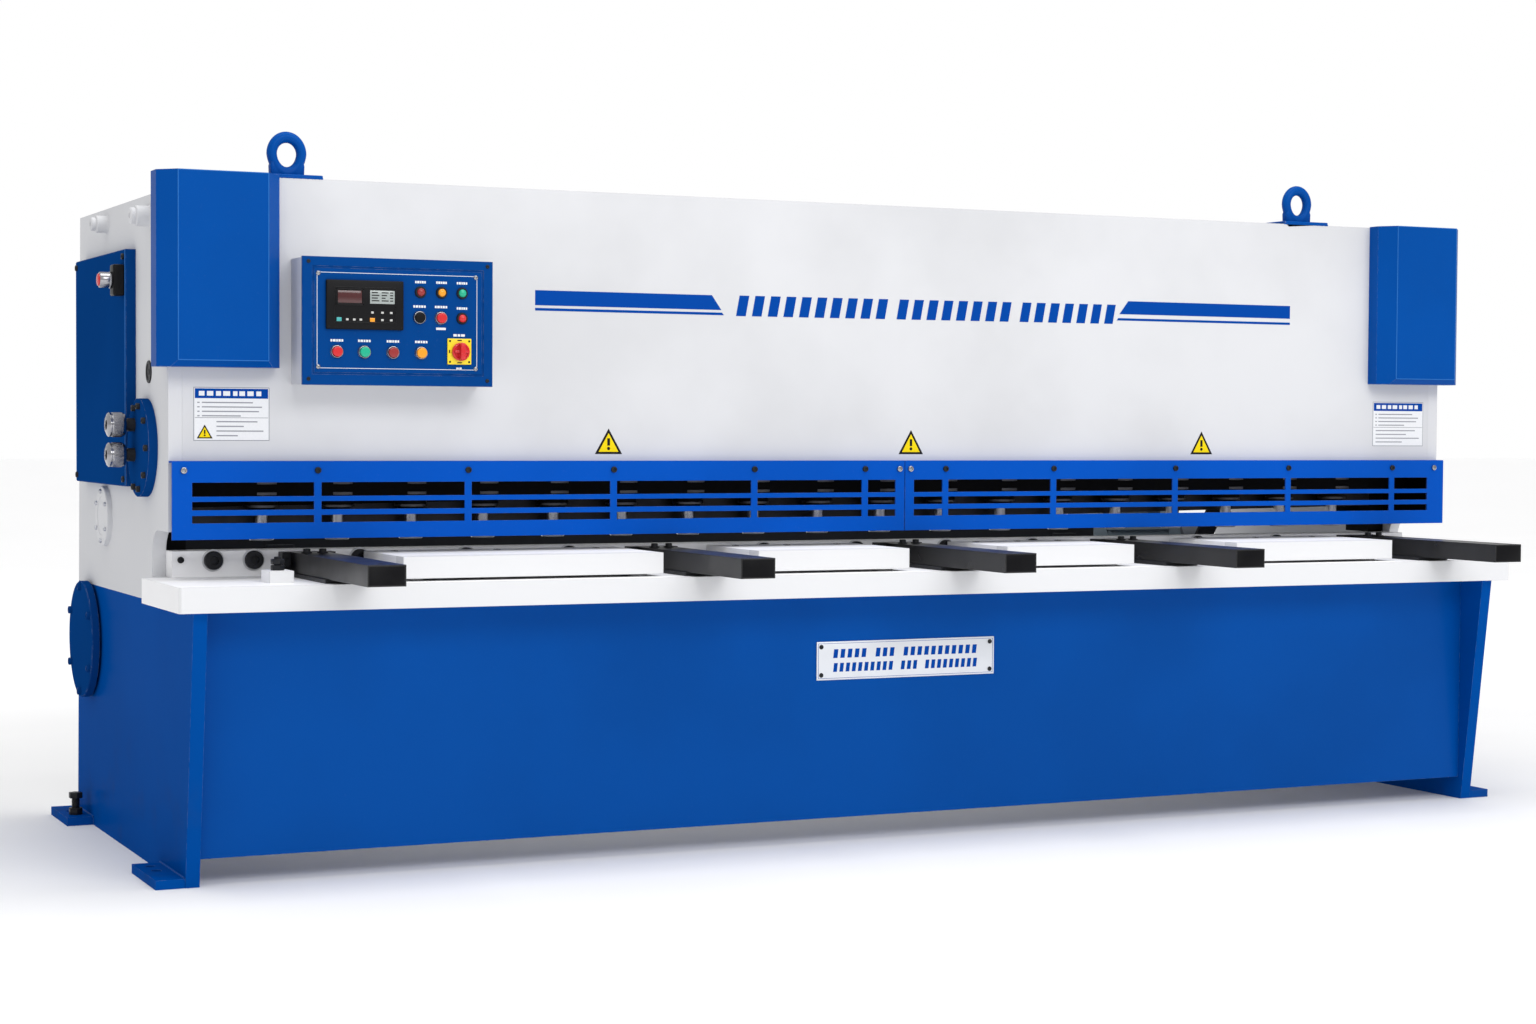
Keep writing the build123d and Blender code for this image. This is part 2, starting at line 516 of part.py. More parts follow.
with BuildPart() as motor:
    disc_x(MOTOR_X, MOTOR_Y, MOTOR_Z, MOTOR_R - 8)
    for i in range(28):
        with BuildSketch(Plane.YZ.offset(MOTOR_X[0] + 40)):
            with Locations((MOTOR_Y, MOTOR_Z)):
                with PolarLocations(MOTOR_R - 6, 1, start_angle=i * 360 / 28):
                    Rectangle(10, 5)
        extrude(amount=MOTOR_X[1] - MOTOR_X[0] - 80)
    slab((MOTOR_X[0] + 50, MOTOR_X[1] - 50), (MOTOR_Y - 90, MOTOR_Y + 90),
         (SHELF_Z, SHELF_Z + 30))
    slab((MOTOR_X[0] + 90, MOTOR_X[0] + 200), (MOTOR_Y - 60, MOTOR_Y + 60),
         (MOTOR_Z + MOTOR_R - 20, MOTOR_Z + MOTOR_R + 40))
save(motor.part, "motor")

with BuildPart() as motor_pulley:
    disc_x((MOTOR_X[1] + 2, DRIVE_X + 40), MOTOR_Y, MOTOR_Z, 20)
    disc_x((DRIVE_X - FLYWHEEL_W / 2, DRIVE_X + FLYWHEEL_W / 2), MOTOR_Y, MOTOR_Z, PULLEY_R)
save(motor_pulley.part, "motor_pulley")

belt_dy, belt_dz = MOTOR_Y - COUNTER_Y, MOTOR_Z - COUNTER_Z
belt_d = math.hypot(belt_dy, belt_dz)
belt_angle = math.degrees(math.atan2(belt_dz, belt_dy))
belt_lead = math.degrees(math.acos((FLYWHEEL_R - PULLEY_R) / belt_d))


def belt_loop(extra, mode=Mode.ADD):
    """The belt's outline round both pulleys, a distance outside their rims."""
    spots = []
    for sign in (1, -1):
        for y, z, radius in ((COUNTER_Y, COUNTER_Z, FLYWHEEL_R), (MOTOR_Y, MOTOR_Z, PULLEY_R)):
            angle = math.radians(belt_angle + sign * belt_lead)
            spots.append((y + (radius + extra) * math.cos(angle),
                          z + (radius + extra) * math.sin(angle)))
    with BuildSketch(Plane.YZ.offset(BELT_X[0])) as profile:
        with BuildLine():
            Polyline(spots[0], spots[1], spots[3], spots[2], close=True)
        make_face()
        with Locations((COUNTER_Y, COUNTER_Z)):
            Circle(FLYWHEEL_R + extra)
        with Locations((MOTOR_Y, MOTOR_Z)):
            Circle(PULLEY_R + extra)
    extrude(profile.sketch, amount=BELT_W, mode=mode)


with BuildPart() as drive_belt:
    belt_loop(BELT_GAP + BELT_T)
    belt_loop(BELT_GAP, Mode.SUBTRACT)
save(drive_belt.part, "drive_belt")

# ---------------------------------------------------------------- back gauge
NUT_Y = (GAUGE_Y - 20, GAUGE_Y + GAUGE_T)
NUT_HALF = 32.0            # half width of a nut block, and height of a screw bearing
RAIL_Y = (BLADE_Y, REAR_Y[0])
with BuildPart() as gauge_rails:
    for x in SCREW_XS:
        slab((x - 45, x + 45), RAIL_Y, RAIL_Z)
        slab((x - 20, x + 20), (RAIL_Y[1] - 1, RAIL_Y[1] + 40), (REAR_Z[1], RAIL_Z[1]))
        for y in (RAM_BACK + 20, RAIL_Y[1] - 20):
            slab((x - 35, x + 35), (y, y + 20), (RAIL_Z[1] - 1, SCREW_Z + NUT_HALF))
            disc_y((y - 1, y + 21), x, SCREW_Z, SCREW_R + RUN, Mode.SUBTRACT)
save(gauge_rails.part, "gauge_rails")

with BuildPart() as gauge_beam:
    slab(GAUGE_X, (GAUGE_Y, GAUGE_Y + GAUGE_T), GAUGE_Z)
    for x in SCREW_XS:
        slab((x - NUT_HALF, x + NUT_HALF), NUT_Y, (SCREW_Z - NUT_HALF + 2, GAUGE_Z[0] + 20))
        disc_y((NUT_Y[0] - 1, NUT_Y[1] + 1), x, SCREW_Z, SCREW_R + RUN, Mode.SUBTRACT)
save(gauge_beam.part, "gauge_beam")

for x, name in zip(SCREW_XS, ("gauge_screw_left", "gauge_screw_right")):
    with BuildPart() as gauge_screw:
        disc_y((RAM_BACK + 10, RAIL_Y[1] + 40), x, SCREW_Z, SCREW_R)
        disc_y((RAIL_Y[1] + 2, RAIL_Y[1] + 22), x, SCREW_Z, 30)
    save(gauge_screw.part, name)

# ---------------------------------------------------------------- left side fittings
SIDE_COVER_Y, SIDE_COVER_Z, SIDE_COVER_T = (-129.0, 430.0), (828.0, 1357.0), 24.0
with BuildPart() as side_cover:
    slab((-HALF - SIDE_COVER_T, -HALF), SIDE_COVER_Y, SIDE_COVER_Z)
    slab((-HALF - SIDE_COVER_T + 4, -HALF + 1), (SIDE_COVER_Y[0] + 4, SIDE_COVER_Y[1] - 4),
         (SIDE_COVER_Z[0] + 4, SIDE_COVER_Z[1] - 4), Mode.SUBTRACT)
    outer_edges = side_cover.faces().sort_by(Axis.X)[0].edges()
    chamfer(outer_edges, length=2)
save(side_cover.part, "side_cover")

FLANGE_Y, FLANGE_Z, FLANGE_R, FLANGE_T = -240.0, 916.0, 108.0, 20.0
with BuildPart() as gap_flange:
    disc_x((-HALF - FLANGE_T, -HALF), FLANGE_Y, FLANGE_Z, FLANGE_R)
    # the disc stops short of the side cover
    slab((-HALF - FLANGE_T - 1, -HALF + 1), (SIDE_COVER_Y[0] - 0.5, SIDE_COVER_Y[1]),
         SIDE_COVER_Z, Mode.SUBTRACT)
    for z in KNOB_ZS:
        disc_x((-HALF - FLANGE_T - 1, -HALF), KNOB_Y, z, 15 + RUN, Mode.SUBTRACT)
save(gap_flange.part, "gap_flange")

KNOB_ROOT, KNOB_GRIP = 21.0, 41.0       # bare stem, then the knurled length
for z, name in zip(KNOB_ZS, ("gap_knob_lower", "gap_knob_upper")):
    with BuildPart() as knob:
        x0 = -HALF - FLANGE_T
        x_grip = x0 - KNOB_ROOT - KNOB_GRIP
        disc_x((x0 - KNOB_ROOT - 1, x0 + FLANGE_T), KNOB_Y, z, 15)
        disc_x((x_grip, x0 - KNOB_ROOT), KNOB_Y, z, 27.5)
        rim_edges = knob.edges().filter_by(GeomType.CIRCLE).group_by(Axis.X)[0]
        chamfer(rim_edges, length=2.5)
        with BuildSketch(Plane.YZ.offset(x_grip - 1)):
            with Locations((KNOB_Y, z)):
                RegularPolygon(11, 6, major_radius=False)
        extrude(amount=19, mode=Mode.SUBTRACT)
    save(knob.part, name)

CAP_Y, CAP_Z, CAP_R = 198.0, 751.0, 70.0
DISC_Y, DISC_Z, DISC_R = 388.0, 448.0, 140.0
DISC_HUB, DISC_OUT = 6.0, 24.0      # hub height, then the whole standing height
with BuildPart() as drive_cover:
    disc_x((-HALF - DISC_HUB - 1, -HALF), DISC_Y, DISC_Z, DISC_R - 22)
    disc_x((-HALF - DISC_OUT, -HALF - DISC_HUB), DISC_Y, DISC_Z, DISC_R)
    chamfer(drive_cover.edges().filter_by(GeomType.CIRCLE).group_by(Axis.X)[0], length=2)
save(drive_cover.part, "drive_cover")

PEGS = ((181.0, 1432.0, 20.0, 26.0), (-265.0, 1421.0, 22.5, 30.0))   # y, z, radius, body
with BuildPart() as side_bosses:
    disc_x((-HALF - 12, -HALF), CAP_Y, CAP_Z, CAP_R)
    for y, z, radius, body in PEGS:
        disc_x((-HALF - body, -HALF), y, z, radius)
        disc_x((-HALF - body - 13, -HALF - body + 1), y, z, radius - 5)
save(side_bosses.part, "side_bosses")

with BuildPart() as cover_screws:
    for x in GUARD_SCREW_XS:
        disc_y((GUARD_Y - 5, GUARD_Y), x, GUARD_Z[1] - 20, 7)
    for y in (SIDE_COVER_Y[0] + 16, SIDE_COVER_Y[1] - 16):
        for z in (SIDE_COVER_Z[0] + 16, SIDE_COVER_Z[1] - 16):
            disc_x((-HALF - SIDE_COVER_T - 5, -HALF - SIDE_COVER_T), y, z, 7)
    for angle in (70, 100, 140, 180, 220, 260, 290):
        y = FLANGE_Y + (FLANGE_R - 16) * math.cos(math.radians(angle))
        z = FLANGE_Z + (FLANGE_R - 16) * math.sin(math.radians(angle))
        disc_x((-HALF - FLANGE_T - 8, -HALF - FLANGE_T), y, z, 7)
    for i in range(6):
        angle = math.radians(60 * i + 30)
        disc_x((-HALF - DISC_OUT - 8, -HALF - DISC_OUT), DISC_Y + (DISC_R - 14) * math.cos(angle),
               DISC_Z + (DISC_R - 14) * math.sin(angle), 9)
        disc_x((-HALF - 17, -HALF - 12), CAP_Y + 58 * math.cos(angle),
               CAP_Z + 58 * math.sin(angle), 5)
save(cover_screws.part, "cover_screws")

STOP_Y, STOP_Z = -106.0, 1288.0
STOP_BASE_X = -HALF - SIDE_COVER_T
with BuildPart() as side_stop_base:
    slab((STOP_BASE_X - 25, STOP_BASE_X), (STOP_Y - 20, STOP_Y + 20), (STOP_Z - 35, STOP_Z + 35))
    disc_x((STOP_BASE_X - 53, STOP_BASE_X - 24), STOP_Y, STOP_Z, 19)
    disc_x((STOP_BASE_X - 54, STOP_BASE_X - 18), STOP_Y, STOP_Z, 14.3, Mode.SUBTRACT)
save(side_stop_base.part, "side_stop_base")

with BuildPart() as side_stop_button:
    disc_x((STOP_BASE_X - 57, STOP_BASE_X - 24), STOP_Y, STOP_Z, 14)
    chamfer(side_stop_button.edges().group_by(Axis.X)[0], length=2)
save(side_stop_button.part, "side_stop_button")

# ---------------------------------------------------------------- control box
FASCIA_T = 6.0
FASCIA_Y = BOX_Y[0]
BOX_WALL = 3.0
BUTTON_R, BUTTON_GAP, BEZEL_R, BEZEL_T = 11.0, 0.35, 15.0, 5.0
LEFT, LOW = BOX_X[0], BOX_Z[0]      # lower left corner of the control box
BUTTONS = {                # x and z of each push button's axis
    "button_red": (LEFT + 74, LOW + 70),
    "button_green": (LEFT + 135, LOW + 70),
    "button_dark_red": (LEFT + 199, LOW + 70),
    "button_amber": (LEFT + 263, LOW + 70),
    "button_black": (LEFT + 259, LOW + 147),
    "button_stop": (LEFT + 308, LOW + 147),
}
LAMPS = ((LEFT + 261, LOW + 202), (LEFT + 309, LOW + 202), (LEFT + 356, LOW + 202),
         (LEFT + 356, LOW + 147))
DISPLAY_X, DISPLAY_Z, DISPLAY_T = (LEFT + 49, LEFT + 221), (LOW + 118, LOW + 224), 8.0
SWITCH_X, SWITCH_Z = (LEFT + 322, LEFT + 377), (LOW + 46, LOW + 103)
SWITCH_AT = (LEFT + 351, LOW + 74)

with BuildPart() as control_box:
    slab(BOX_X, (BOX_Y[0] + FASCIA_T, BOX_Y[1]), BOX_Z)
    slab((BOX_X[0] + BOX_WALL, BOX_X[1] - BOX_WALL),
         (BOX_Y[0] + FASCIA_T - 1, BOX_Y[1] - BOX_WALL),
         (BOX_Z[0] + BOX_WALL, BOX_Z[1] - BOX_WALL), Mode.SUBTRACT)
save(control_box.part, "control_box")

with BuildPart() as control_fascia:
    slab((BOX_X[0] - 2, BOX_X[1] + 2), (FASCIA_Y, FASCIA_Y + FASCIA_T),
         (BOX_Z[0] - 2, BOX_Z[1] + 2))
    groove_x, groove_z = (LEFT + 20, BOX_X[1] - 19), (LOW + 21, BOX_Z[1] - 18)
    slab(groove_x, (FASCIA_Y - 1, FASCIA_Y + 1.5), groove_z, Mode.SUBTRACT)
    slab((groove_x[0] + 4, groove_x[1] - 4), (FASCIA_Y, FASCIA_Y + FASCIA_T),
         (groove_z[0] + 4, groove_z[1] - 4))
    for x, z in BUTTONS.values():
        disc_y((FASCIA_Y - 1, FASCIA_Y + FASCIA_T + 1), x, z, BUTTON_R + BUTTON_GAP,
               Mode.SUBTRACT)
    disc_y((FASCIA_Y - 1, FASCIA_Y + FASCIA_T + 1), *SWITCH_AT, 8.3, Mode.SUBTRACT)
save(control_fascia.part, "control_fascia")

with BuildPart() as display_unit:
    slab(DISPLAY_X, (FASCIA_Y - DISPLAY_T, FASCIA_Y), DISPLAY_Z)
    chamfer(display_unit.faces().sort_by(Axis.Y)[0].edges(), length=2.5)
save(display_unit.part, "display_unit")

with BuildPart() as button_bezels:
    for x, z in BUTTONS.values():
        disc_y((FASCIA_Y - BEZEL_T, FASCIA_Y), x, z, BEZEL_R)
        disc_y((FASCIA_Y - BEZEL_T - 1, FASCIA_Y + 1), x, z, BUTTON_R + BUTTON_GAP,
               Mode.SUBTRACT)
save(button_bezels.part, "button_bezels")

with BuildPart() as indicator_lamps:
    for x, z in LAMPS:
        disc_y((FASCIA_Y - 5, FASCIA_Y), x, z, 13)
        disc_y((FASCIA_Y - 10, FASCIA_Y - 4), x, z, 9)
save(indicator_lamps.part, "indicator_lamps")

for name, (x, z) in BUTTONS.items():
    with BuildPart() as button:
        disc_y((FASCIA_Y - BEZEL_T - 5, FASCIA_Y + 8), x, z, BUTTON_R)
        chamfer(button.edges().group_by(Axis.Y)[0], length=1)
    save(button.part, name)

with BuildPart() as switch_plate:
    slab(SWITCH_X, (FASCIA_Y - 4, FASCIA_Y), SWITCH_Z)
    disc_y((FASCIA_Y - 5, FASCIA_Y + 1), *SWITCH_AT, 8.3, Mode.SUBTRACT)
save(switch_plate.part, "switch_plate")

with BuildPart() as main_switch_knob:
    disc_y((FASCIA_Y - 12, FASCIA_Y - 4.3), *SWITCH_AT, 20)
    disc_y((FASCIA_Y - 5, FASCIA_Y + 8), *SWITCH_AT, 8)
    slab((SWITCH_AT[0] - 6, SWITCH_AT[0] + 6), (FASCIA_Y - 26, FASCIA_Y - 11),
         (SWITCH_AT[1] - 19, SWITCH_AT[1] + 19))
save(main_switch_knob.part, "main_switch_knob")

NAME_X, NAME_Z = (-226.0, 250.0), (380.0, 470.0)
with BuildPart() as name_plate:
    slab(NAME_X, (LOWER_PANEL_Y - 3, LOWER_PANEL_Y), NAME_Z)
    for x in (NAME_X[0] + 12, NAME_X[1] - 12):
        for z in (NAME_Z[0] + 12, NAME_Z[1] - 12):
            disc_y((LOWER_PANEL_Y - 5, LOWER_PANEL_Y - 2), x, z, 5)
save(name_plate.part, "name_plate")
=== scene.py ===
import json
import math

import bmesh
import bpy
from mathutils import Matrix, Vector


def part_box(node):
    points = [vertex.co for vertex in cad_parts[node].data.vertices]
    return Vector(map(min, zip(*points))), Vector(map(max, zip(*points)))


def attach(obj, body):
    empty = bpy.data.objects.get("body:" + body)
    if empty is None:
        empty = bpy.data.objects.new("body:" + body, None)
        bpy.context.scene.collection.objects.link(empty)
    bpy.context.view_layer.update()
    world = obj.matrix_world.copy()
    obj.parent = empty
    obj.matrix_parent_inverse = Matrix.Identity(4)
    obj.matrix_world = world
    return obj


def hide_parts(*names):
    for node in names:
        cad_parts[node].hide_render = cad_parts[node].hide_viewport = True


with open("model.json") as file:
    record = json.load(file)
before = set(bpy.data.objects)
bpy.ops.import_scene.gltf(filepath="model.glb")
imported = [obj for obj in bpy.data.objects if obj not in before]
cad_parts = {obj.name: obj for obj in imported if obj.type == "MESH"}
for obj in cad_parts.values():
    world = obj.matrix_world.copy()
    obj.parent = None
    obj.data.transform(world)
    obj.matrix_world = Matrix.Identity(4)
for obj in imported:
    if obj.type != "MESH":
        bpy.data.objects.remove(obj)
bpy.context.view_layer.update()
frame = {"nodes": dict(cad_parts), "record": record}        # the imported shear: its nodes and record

MM = 0.001
NODES = frame["nodes"]

# ---------------------------------------------------------------- camera
CAMERA_AT = (-2.9737, -6.0719, 0.977)
CAMERA_YAW, CAMERA_PITCH, CAMERA_ROLL = 25.54, -1.916, 0.342   # degrees
LENS = 61.98


def make_camera():
    """A camera that looks along the machine from its left front corner."""
    data = bpy.data.cameras.new("camera")
    data.lens = LENS
    data.sensor_width = 36.0
    camera = bpy.data.objects.new("camera", data)
    bpy.context.scene.collection.objects.link(camera)
    yaw, pitch, roll = (math.radians(a) for a in (CAMERA_YAW, CAMERA_PITCH, CAMERA_ROLL))
    ahead = Vector((math.sin(yaw) * math.cos(pitch), math.cos(yaw) * math.cos(pitch),
                    math.sin(pitch)))
    right = ahead.cross(Vector((0, 0, 1))).normalized()
    up = right.cross(ahead)
    turned = right * math.cos(roll) + up * math.sin(roll)
    raised = up * math.cos(roll) - right * math.sin(roll)
    turn = Matrix((turned, raised, -ahead)).transposed()
    camera.matrix_world = Matrix.Translation(CAMERA_AT) @ turn.to_4x4()
    bpy.context.scene.camera = camera


make_camera()


# ---------------------------------------------------------------- shader building
class Wire:
    """One value in a material, with arithmetic."""

    def __init__(self, paint, socket):
        self.paint, self.socket = paint, socket

    def maths(self, operation, a, b=0.0):
        return self.paint.node("Math", {"operation": operation}, i0=a, i1=b)

    def __add__(self, other):
        return self.maths("ADD", self, other)

    def __radd__(self, other):
        return self.maths("ADD", other, self)

    def __sub__(self, other):
        return self.maths("SUBTRACT", self, other)

    def __rsub__(self, other):
        return self.maths("SUBTRACT", other, self)

    def __mul__(self, other):
        return self.maths("MULTIPLY", self, other)

    def __rmul__(self, other):
        return self.maths("MULTIPLY", other, self)

    def __gt__(self, other):
        return self.maths("GREATER_THAN", self, other)

    def band(self, low, high):
        """0 below low, 1 above high, smooth between."""
        return self.paint.node("MapRange", {"interpolation_type": "SMOOTHSTEP"},
                               i0=self, i1=low, i2=high)


class Paint:
    """A material being mixed: its tree, its shader and the place on the object."""

    def __init__(self, name):
        self.material = bpy.data.materials.new(name)
        self.material.use_nodes = True
        self.tree = self.material.node_tree
        self.tree.nodes.clear()
        self.shader = self.tree.nodes.new("ShaderNodeBsdfPrincipled")
        output = self.tree.nodes.new("ShaderNodeOutputMaterial")
        self.tree.links.new(self.shader.outputs[0], output.inputs[0])
        self.place = self.node("TexCoord", out="Object")

    def node(self, kind, settings=None, out=0, **inputs):
        """Adds a node: its settings first, then its sockets, by i0, i1, or by name."""
        made = self.tree.nodes.new("ShaderNode" + kind)
        for key, value in (settings or {}).items():
            setattr(made, key, value)
        for key, value in inputs.items():
            number = key[1:]
            socket = made.inputs[int(number) if number.isdigit() else key.replace("_", " ")]
            if isinstance(value, Wire):
                self.tree.links.new(value.socket, socket)
            else:
                socket.default_value = value
        return Wire(self, made.outputs[out])

    def noise(self, scale, detail=3.0, stretch=(1, 1, 1), rough=0.5):
        """Noise on the object's own coordinates, about 0 to 1."""
        at = self.node("Mapping", Vector=self.place, Scale=stretch)
        return self.node("TexNoise", out="Fac", Vector=at, Scale=scale, Detail=detail,
                         Roughness=rough)

    def axis(self, letter):
        return self.node("SeparateXYZ", out=letter, Vector=self.place)

    def mix(self, factor, a, b):
        """Colour a where factor is 0, colour b where it is 1."""
        return self.node("Mix", {"data_type": "RGBA"}, out=2, i0=factor, i6=a, i7=b)

    def edge(self, radius):
        """1 on outer and inner edges, 0 on flats, and the rounded normal."""
        round_normal = self.node("Bevel", {"samples": 4}, Radius=radius)
        true_normal = self.node("NewGeometry", out="Normal")
        dot = self.node("VectorMath", {"operation": "DOT_PRODUCT"}, out="Value",
                        i0=round_normal, i1=true_normal)
        return (1.0 - dot).band(0.01, 0.25), round_normal

    def set(self, **values):
        """Sets or links the shader's sockets."""
        for key, value in values.items():
            socket = self.shader.inputs[key.replace("_", " ")]
            if isinstance(value, Wire):
                self.tree.links.new(value.socket, socket)
            else:
                socket.default_value = value

    def bump(self, height, strength, distance, normal=None):
        extra = {"Normal": normal} if normal is not None else {}
        return self.node("Bump", Height=height, Strength=strength, Distance=distance, **extra)


def rgb(red, green, blue):
    return (red, green, blue, 1.0)


def lighter(colour, share):
    return rgb(*(c + (1 - c) * share for c in colour[:3]))


def darker(colour, share):
    return rgb(*(c * (1 - share) for c in colour[:3]))


def machine_paint(name, colour, rough=0.34, peel=0.12, grain=520.0, pale_edges=0.25, dust=0.01,
                  coat=0.04, shine=0.03):
    """Sprayed machine enamel: orange peel, faint mottling, and lighter edges that are partly thin, worn paint and
    partly painted highlight along the folds.
    """
    p = Paint(name)
    edges, rounded = p.edge(1.6 * MM)
    cloud = p.noise(2.2, 4.0)
    speck = p.noise(140.0, 2.0)
    base = p.mix(cloud.band(0.35, 0.7), colour, darker(colour, 0.10))
    base = p.mix(speck.band(0.62, 0.8) * dust, base, lighter(colour, 0.5))
    # lighter edges: partly worn paint, partly painted highlight along edges and folds
    base = p.mix(edges * p.noise(60.0, 3.0).band(0.35, 0.65) * pale_edges, base, lighter(colour, 0.55))
    skin = p.noise(grain, 2.0) + p.noise(grain * 0.22, 2.0) * 0.6
    p.set(Base_Color=base, Roughness=rough + (cloud - 0.5) * 0.12, Coat_Weight=coat,
          Coat_Roughness=0.22, Specular_IOR_Level=shine,
          Normal=p.bump(skin, peel, 0.4 * MM, rounded))
    return p.material


def two_tone_paint(name, upper, lower, split):
    """Enamel in two colours that meet at a masked line, with near black painted on the inner faces behind the
    guard as painted shade, and lighter edges that are partly wear and partly painted highlight.
    """
    p = Paint(name)
    edges, rounded = p.edge(1.6 * MM)
    wander = p.noise(25.0, 2.0) * (1.2 * MM)
    over = (p.axis("Z") + wander).band(split, split + 1.0 * MM)
    colour = p.mix(over, lower, upper)
    cloud = p.noise(2.2, 4.0)
    grime = p.noise(9.0, 5.0).band(0.5, 0.75) * (1.0 - p.axis("Z").band(0.0, 0.35)) * 0.25
    base = p.mix(cloud.band(0.35, 0.7) * 0.5, colour,
                 p.mix(over, darker(lower, 0.15), darker(upper, 0.05)))
    base = p.mix(grime, base, rgb(0.03, 0.04, 0.06))
    # painted shade: the inner faces of the side plates behind the guard are painted near black
    painted_shade_inside = p.axis("X").band(-INNER_X, 0.5 * MM - INNER_X) * \
        (1.0 - p.axis("X").band(INNER_X - 0.5 * MM, INNER_X)) * \
        p.axis("Y").band(panel_low[1], panel_low[1] + 5 * MM) * \
        (1.0 - p.axis("Y").band(guide_back - 5 * MM, guide_back)) * \
        p.axis("Z").band(panel_low[2] - SHADE_BELOW_PANEL, panel_low[2] - SHADE_BELOW_PANEL + 0.01)
    base = p.mix(painted_shade_inside, base, NEAR_BLACK)
    # lighter edges: partly worn paint, partly painted highlight
    base = p.mix(edges * p.noise(60.0, 3.0).band(0.35, 0.65) * 0.2, base, rgb(0.7, 0.75, 0.85))
    skin = p.noise(520.0, 2.0) + p.noise(110.0, 2.0) * 0.6
    p.set(Base_Color=base, Roughness=0.34 + (cloud - 0.5) * 0.12, Coat_Weight=0.03,
          Coat_Roughness=0.22, Specular_IOR_Level=0.0,
          Normal=p.bump(skin, 0.12, 0.4 * MM, rounded))
    return p.material


def black_finish(name, colour=rgb(0.010, 0.011, 0.014), rough=0.36, pale_edges=0.5, grain=380.0,
                 shine=0.22):
    """Black enamel or black oxide, rubbed to grey along its edges."""
    p = Paint(name)
    edges, rounded = p.edge(1.2 * MM)
    patch = p.noise(12.0, 5.0)
    rub = edges * p.noise(45.0, 4.0).band(0.4, 0.65) * pale_edges
    base = p.mix(patch.band(0.4, 0.75), colour, lighter(colour, 0.006))
    base = p.mix(rub, base, rgb(0.20, 0.20, 0.21))
    p.set(Base_Color=base, Roughness=rough + (patch - 0.5) * 0.25, Specular_IOR_Level=shine,
          Normal=p.bump(p.noise(grain, 3.0), 0.14, 0.4 * MM, rounded))
    return p.material


def metal_finish(name, colour, rough=0.28, stretch=(1, 1, 1), scale=400.0, stain=0.25, cut=0.10):
    """Bare machined steel: fine cutting lines and a little staining."""
    p = Paint(name)
    edges, rounded = p.edge(0.8 * MM)
    lines = p.noise(scale, 4.0, stretch)
    stains = p.noise(14.0, 5.0).band(0.45, 0.8)
    base = p.mix(stains * stain, colour, darker(colour, 0.45))
    base = p.mix(edges * 0.5, base, lighter(colour, 0.4))
    p.set(Base_Color=base, Metallic=1.0, Roughness=rough + lines * 0.14 + stains * 0.1,
          Normal=p.bump(lines, cut, 0.3 * MM, rounded))
    return p.material


def plastic(name, colour, rough=0.25, glow=0.0, coat=0.3, shine=0.4):
    """Moulded plastic with a faint flow texture and handling marks."""
    p = Paint(name)
    edges, rounded = p.edge(0.5 * MM)
    smear = p.noise(160.0, 4.0)
    base = p.mix(smear.band(0.4, 0.8) * 0.25, colour, darker(colour, 0.25))
    base = p.mix(edges * 0.25, base, lighter(colour, 0.3))
    p.set(Base_Color=base, Roughness=rough + (smear - 0.5) * 0.16, Coat_Weight=coat,
          Specular_IOR_Level=shine,
          Normal=p.bump(p.noise(900.0, 2.0), 0.05, 0.1 * MM, rounded))
    if glow:
        p.set(Emission_Color=colour, Emission_Strength=glow)
    return p.material


def printed(name, colour, rough=0.4):
    """Printed foil: nearly even colour, with a slight waviness."""
    p = Paint(name)
    ink = p.noise(220.0, 3.0)
    base = p.mix(ink.band(0.3, 0.8) * 0.35, colour, darker(colour, 0.12))
    p.set(Base_Color=base, Roughness=rough + (ink - 0.5) * 0.1, Specular_IOR_Level=0.04,
          Normal=p.bump(p.noise(60.0, 2.0), 0.05, 0.2 * MM))
    return p.material


def front_and_rear(name, front, colour, split, cloudy=0.25, shine=0.06):
    """One colour towards the operator and another behind a masked line: near black on the front faces of the ram
    and beam as painted shade, and a lighter white on the table tops behind their front edges as painted light.
    """
    p = Paint(name)
    edges, rounded = p.edge(1.6 * MM)
    cloud = p.noise(5.0, 5.0)
    behind = p.axis("Y").band(split, split + 2 * MM)
    rear = p.mix(cloud.band(0.35, 0.7), colour, darker(colour, cloudy))
    rear = p.mix(edges * 0.3, rear, lighter(colour, 0.2))
    p.set(Base_Color=p.mix(behind, front, rear),
          Roughness=0.5 + (cloud - 0.5) * 0.15, Specular_IOR_Level=shine,
          Normal=p.bump(p.noise(300.0, 3.0), 0.2, 0.4 * MM, rounded))
    return p.material


BLUE = rgb(0.000, 0.068, 0.330)
GREY = rgb(0.20, 0.22, 0.25)
BRIGHT_BLUE = rgb(0.000, 0.080, 0.480)
WHITE = rgb(0.675, 0.680, 0.700)
TABLE_WHITE = rgb(0.755, 0.760, 0.775)
PAINTED_LIGHT_WHITE = rgb(0.95, 0.95, 0.96)       # a lighter white painted on the bed front and table tops as painted light, to make up for the shade under the guard
NEAR_BLACK = rgb(0.003, 0.003, 0.004)
RAM_SHADE_TO, BEAM_SHADE_TO = -0.243, -0.300      # depth to which the front faces of ram and beam are painted near black as painted shade
SHADE_BELOW_PANEL = 0.13     # how far under the front panel the inner faces of the side plates are painted near black as painted shade
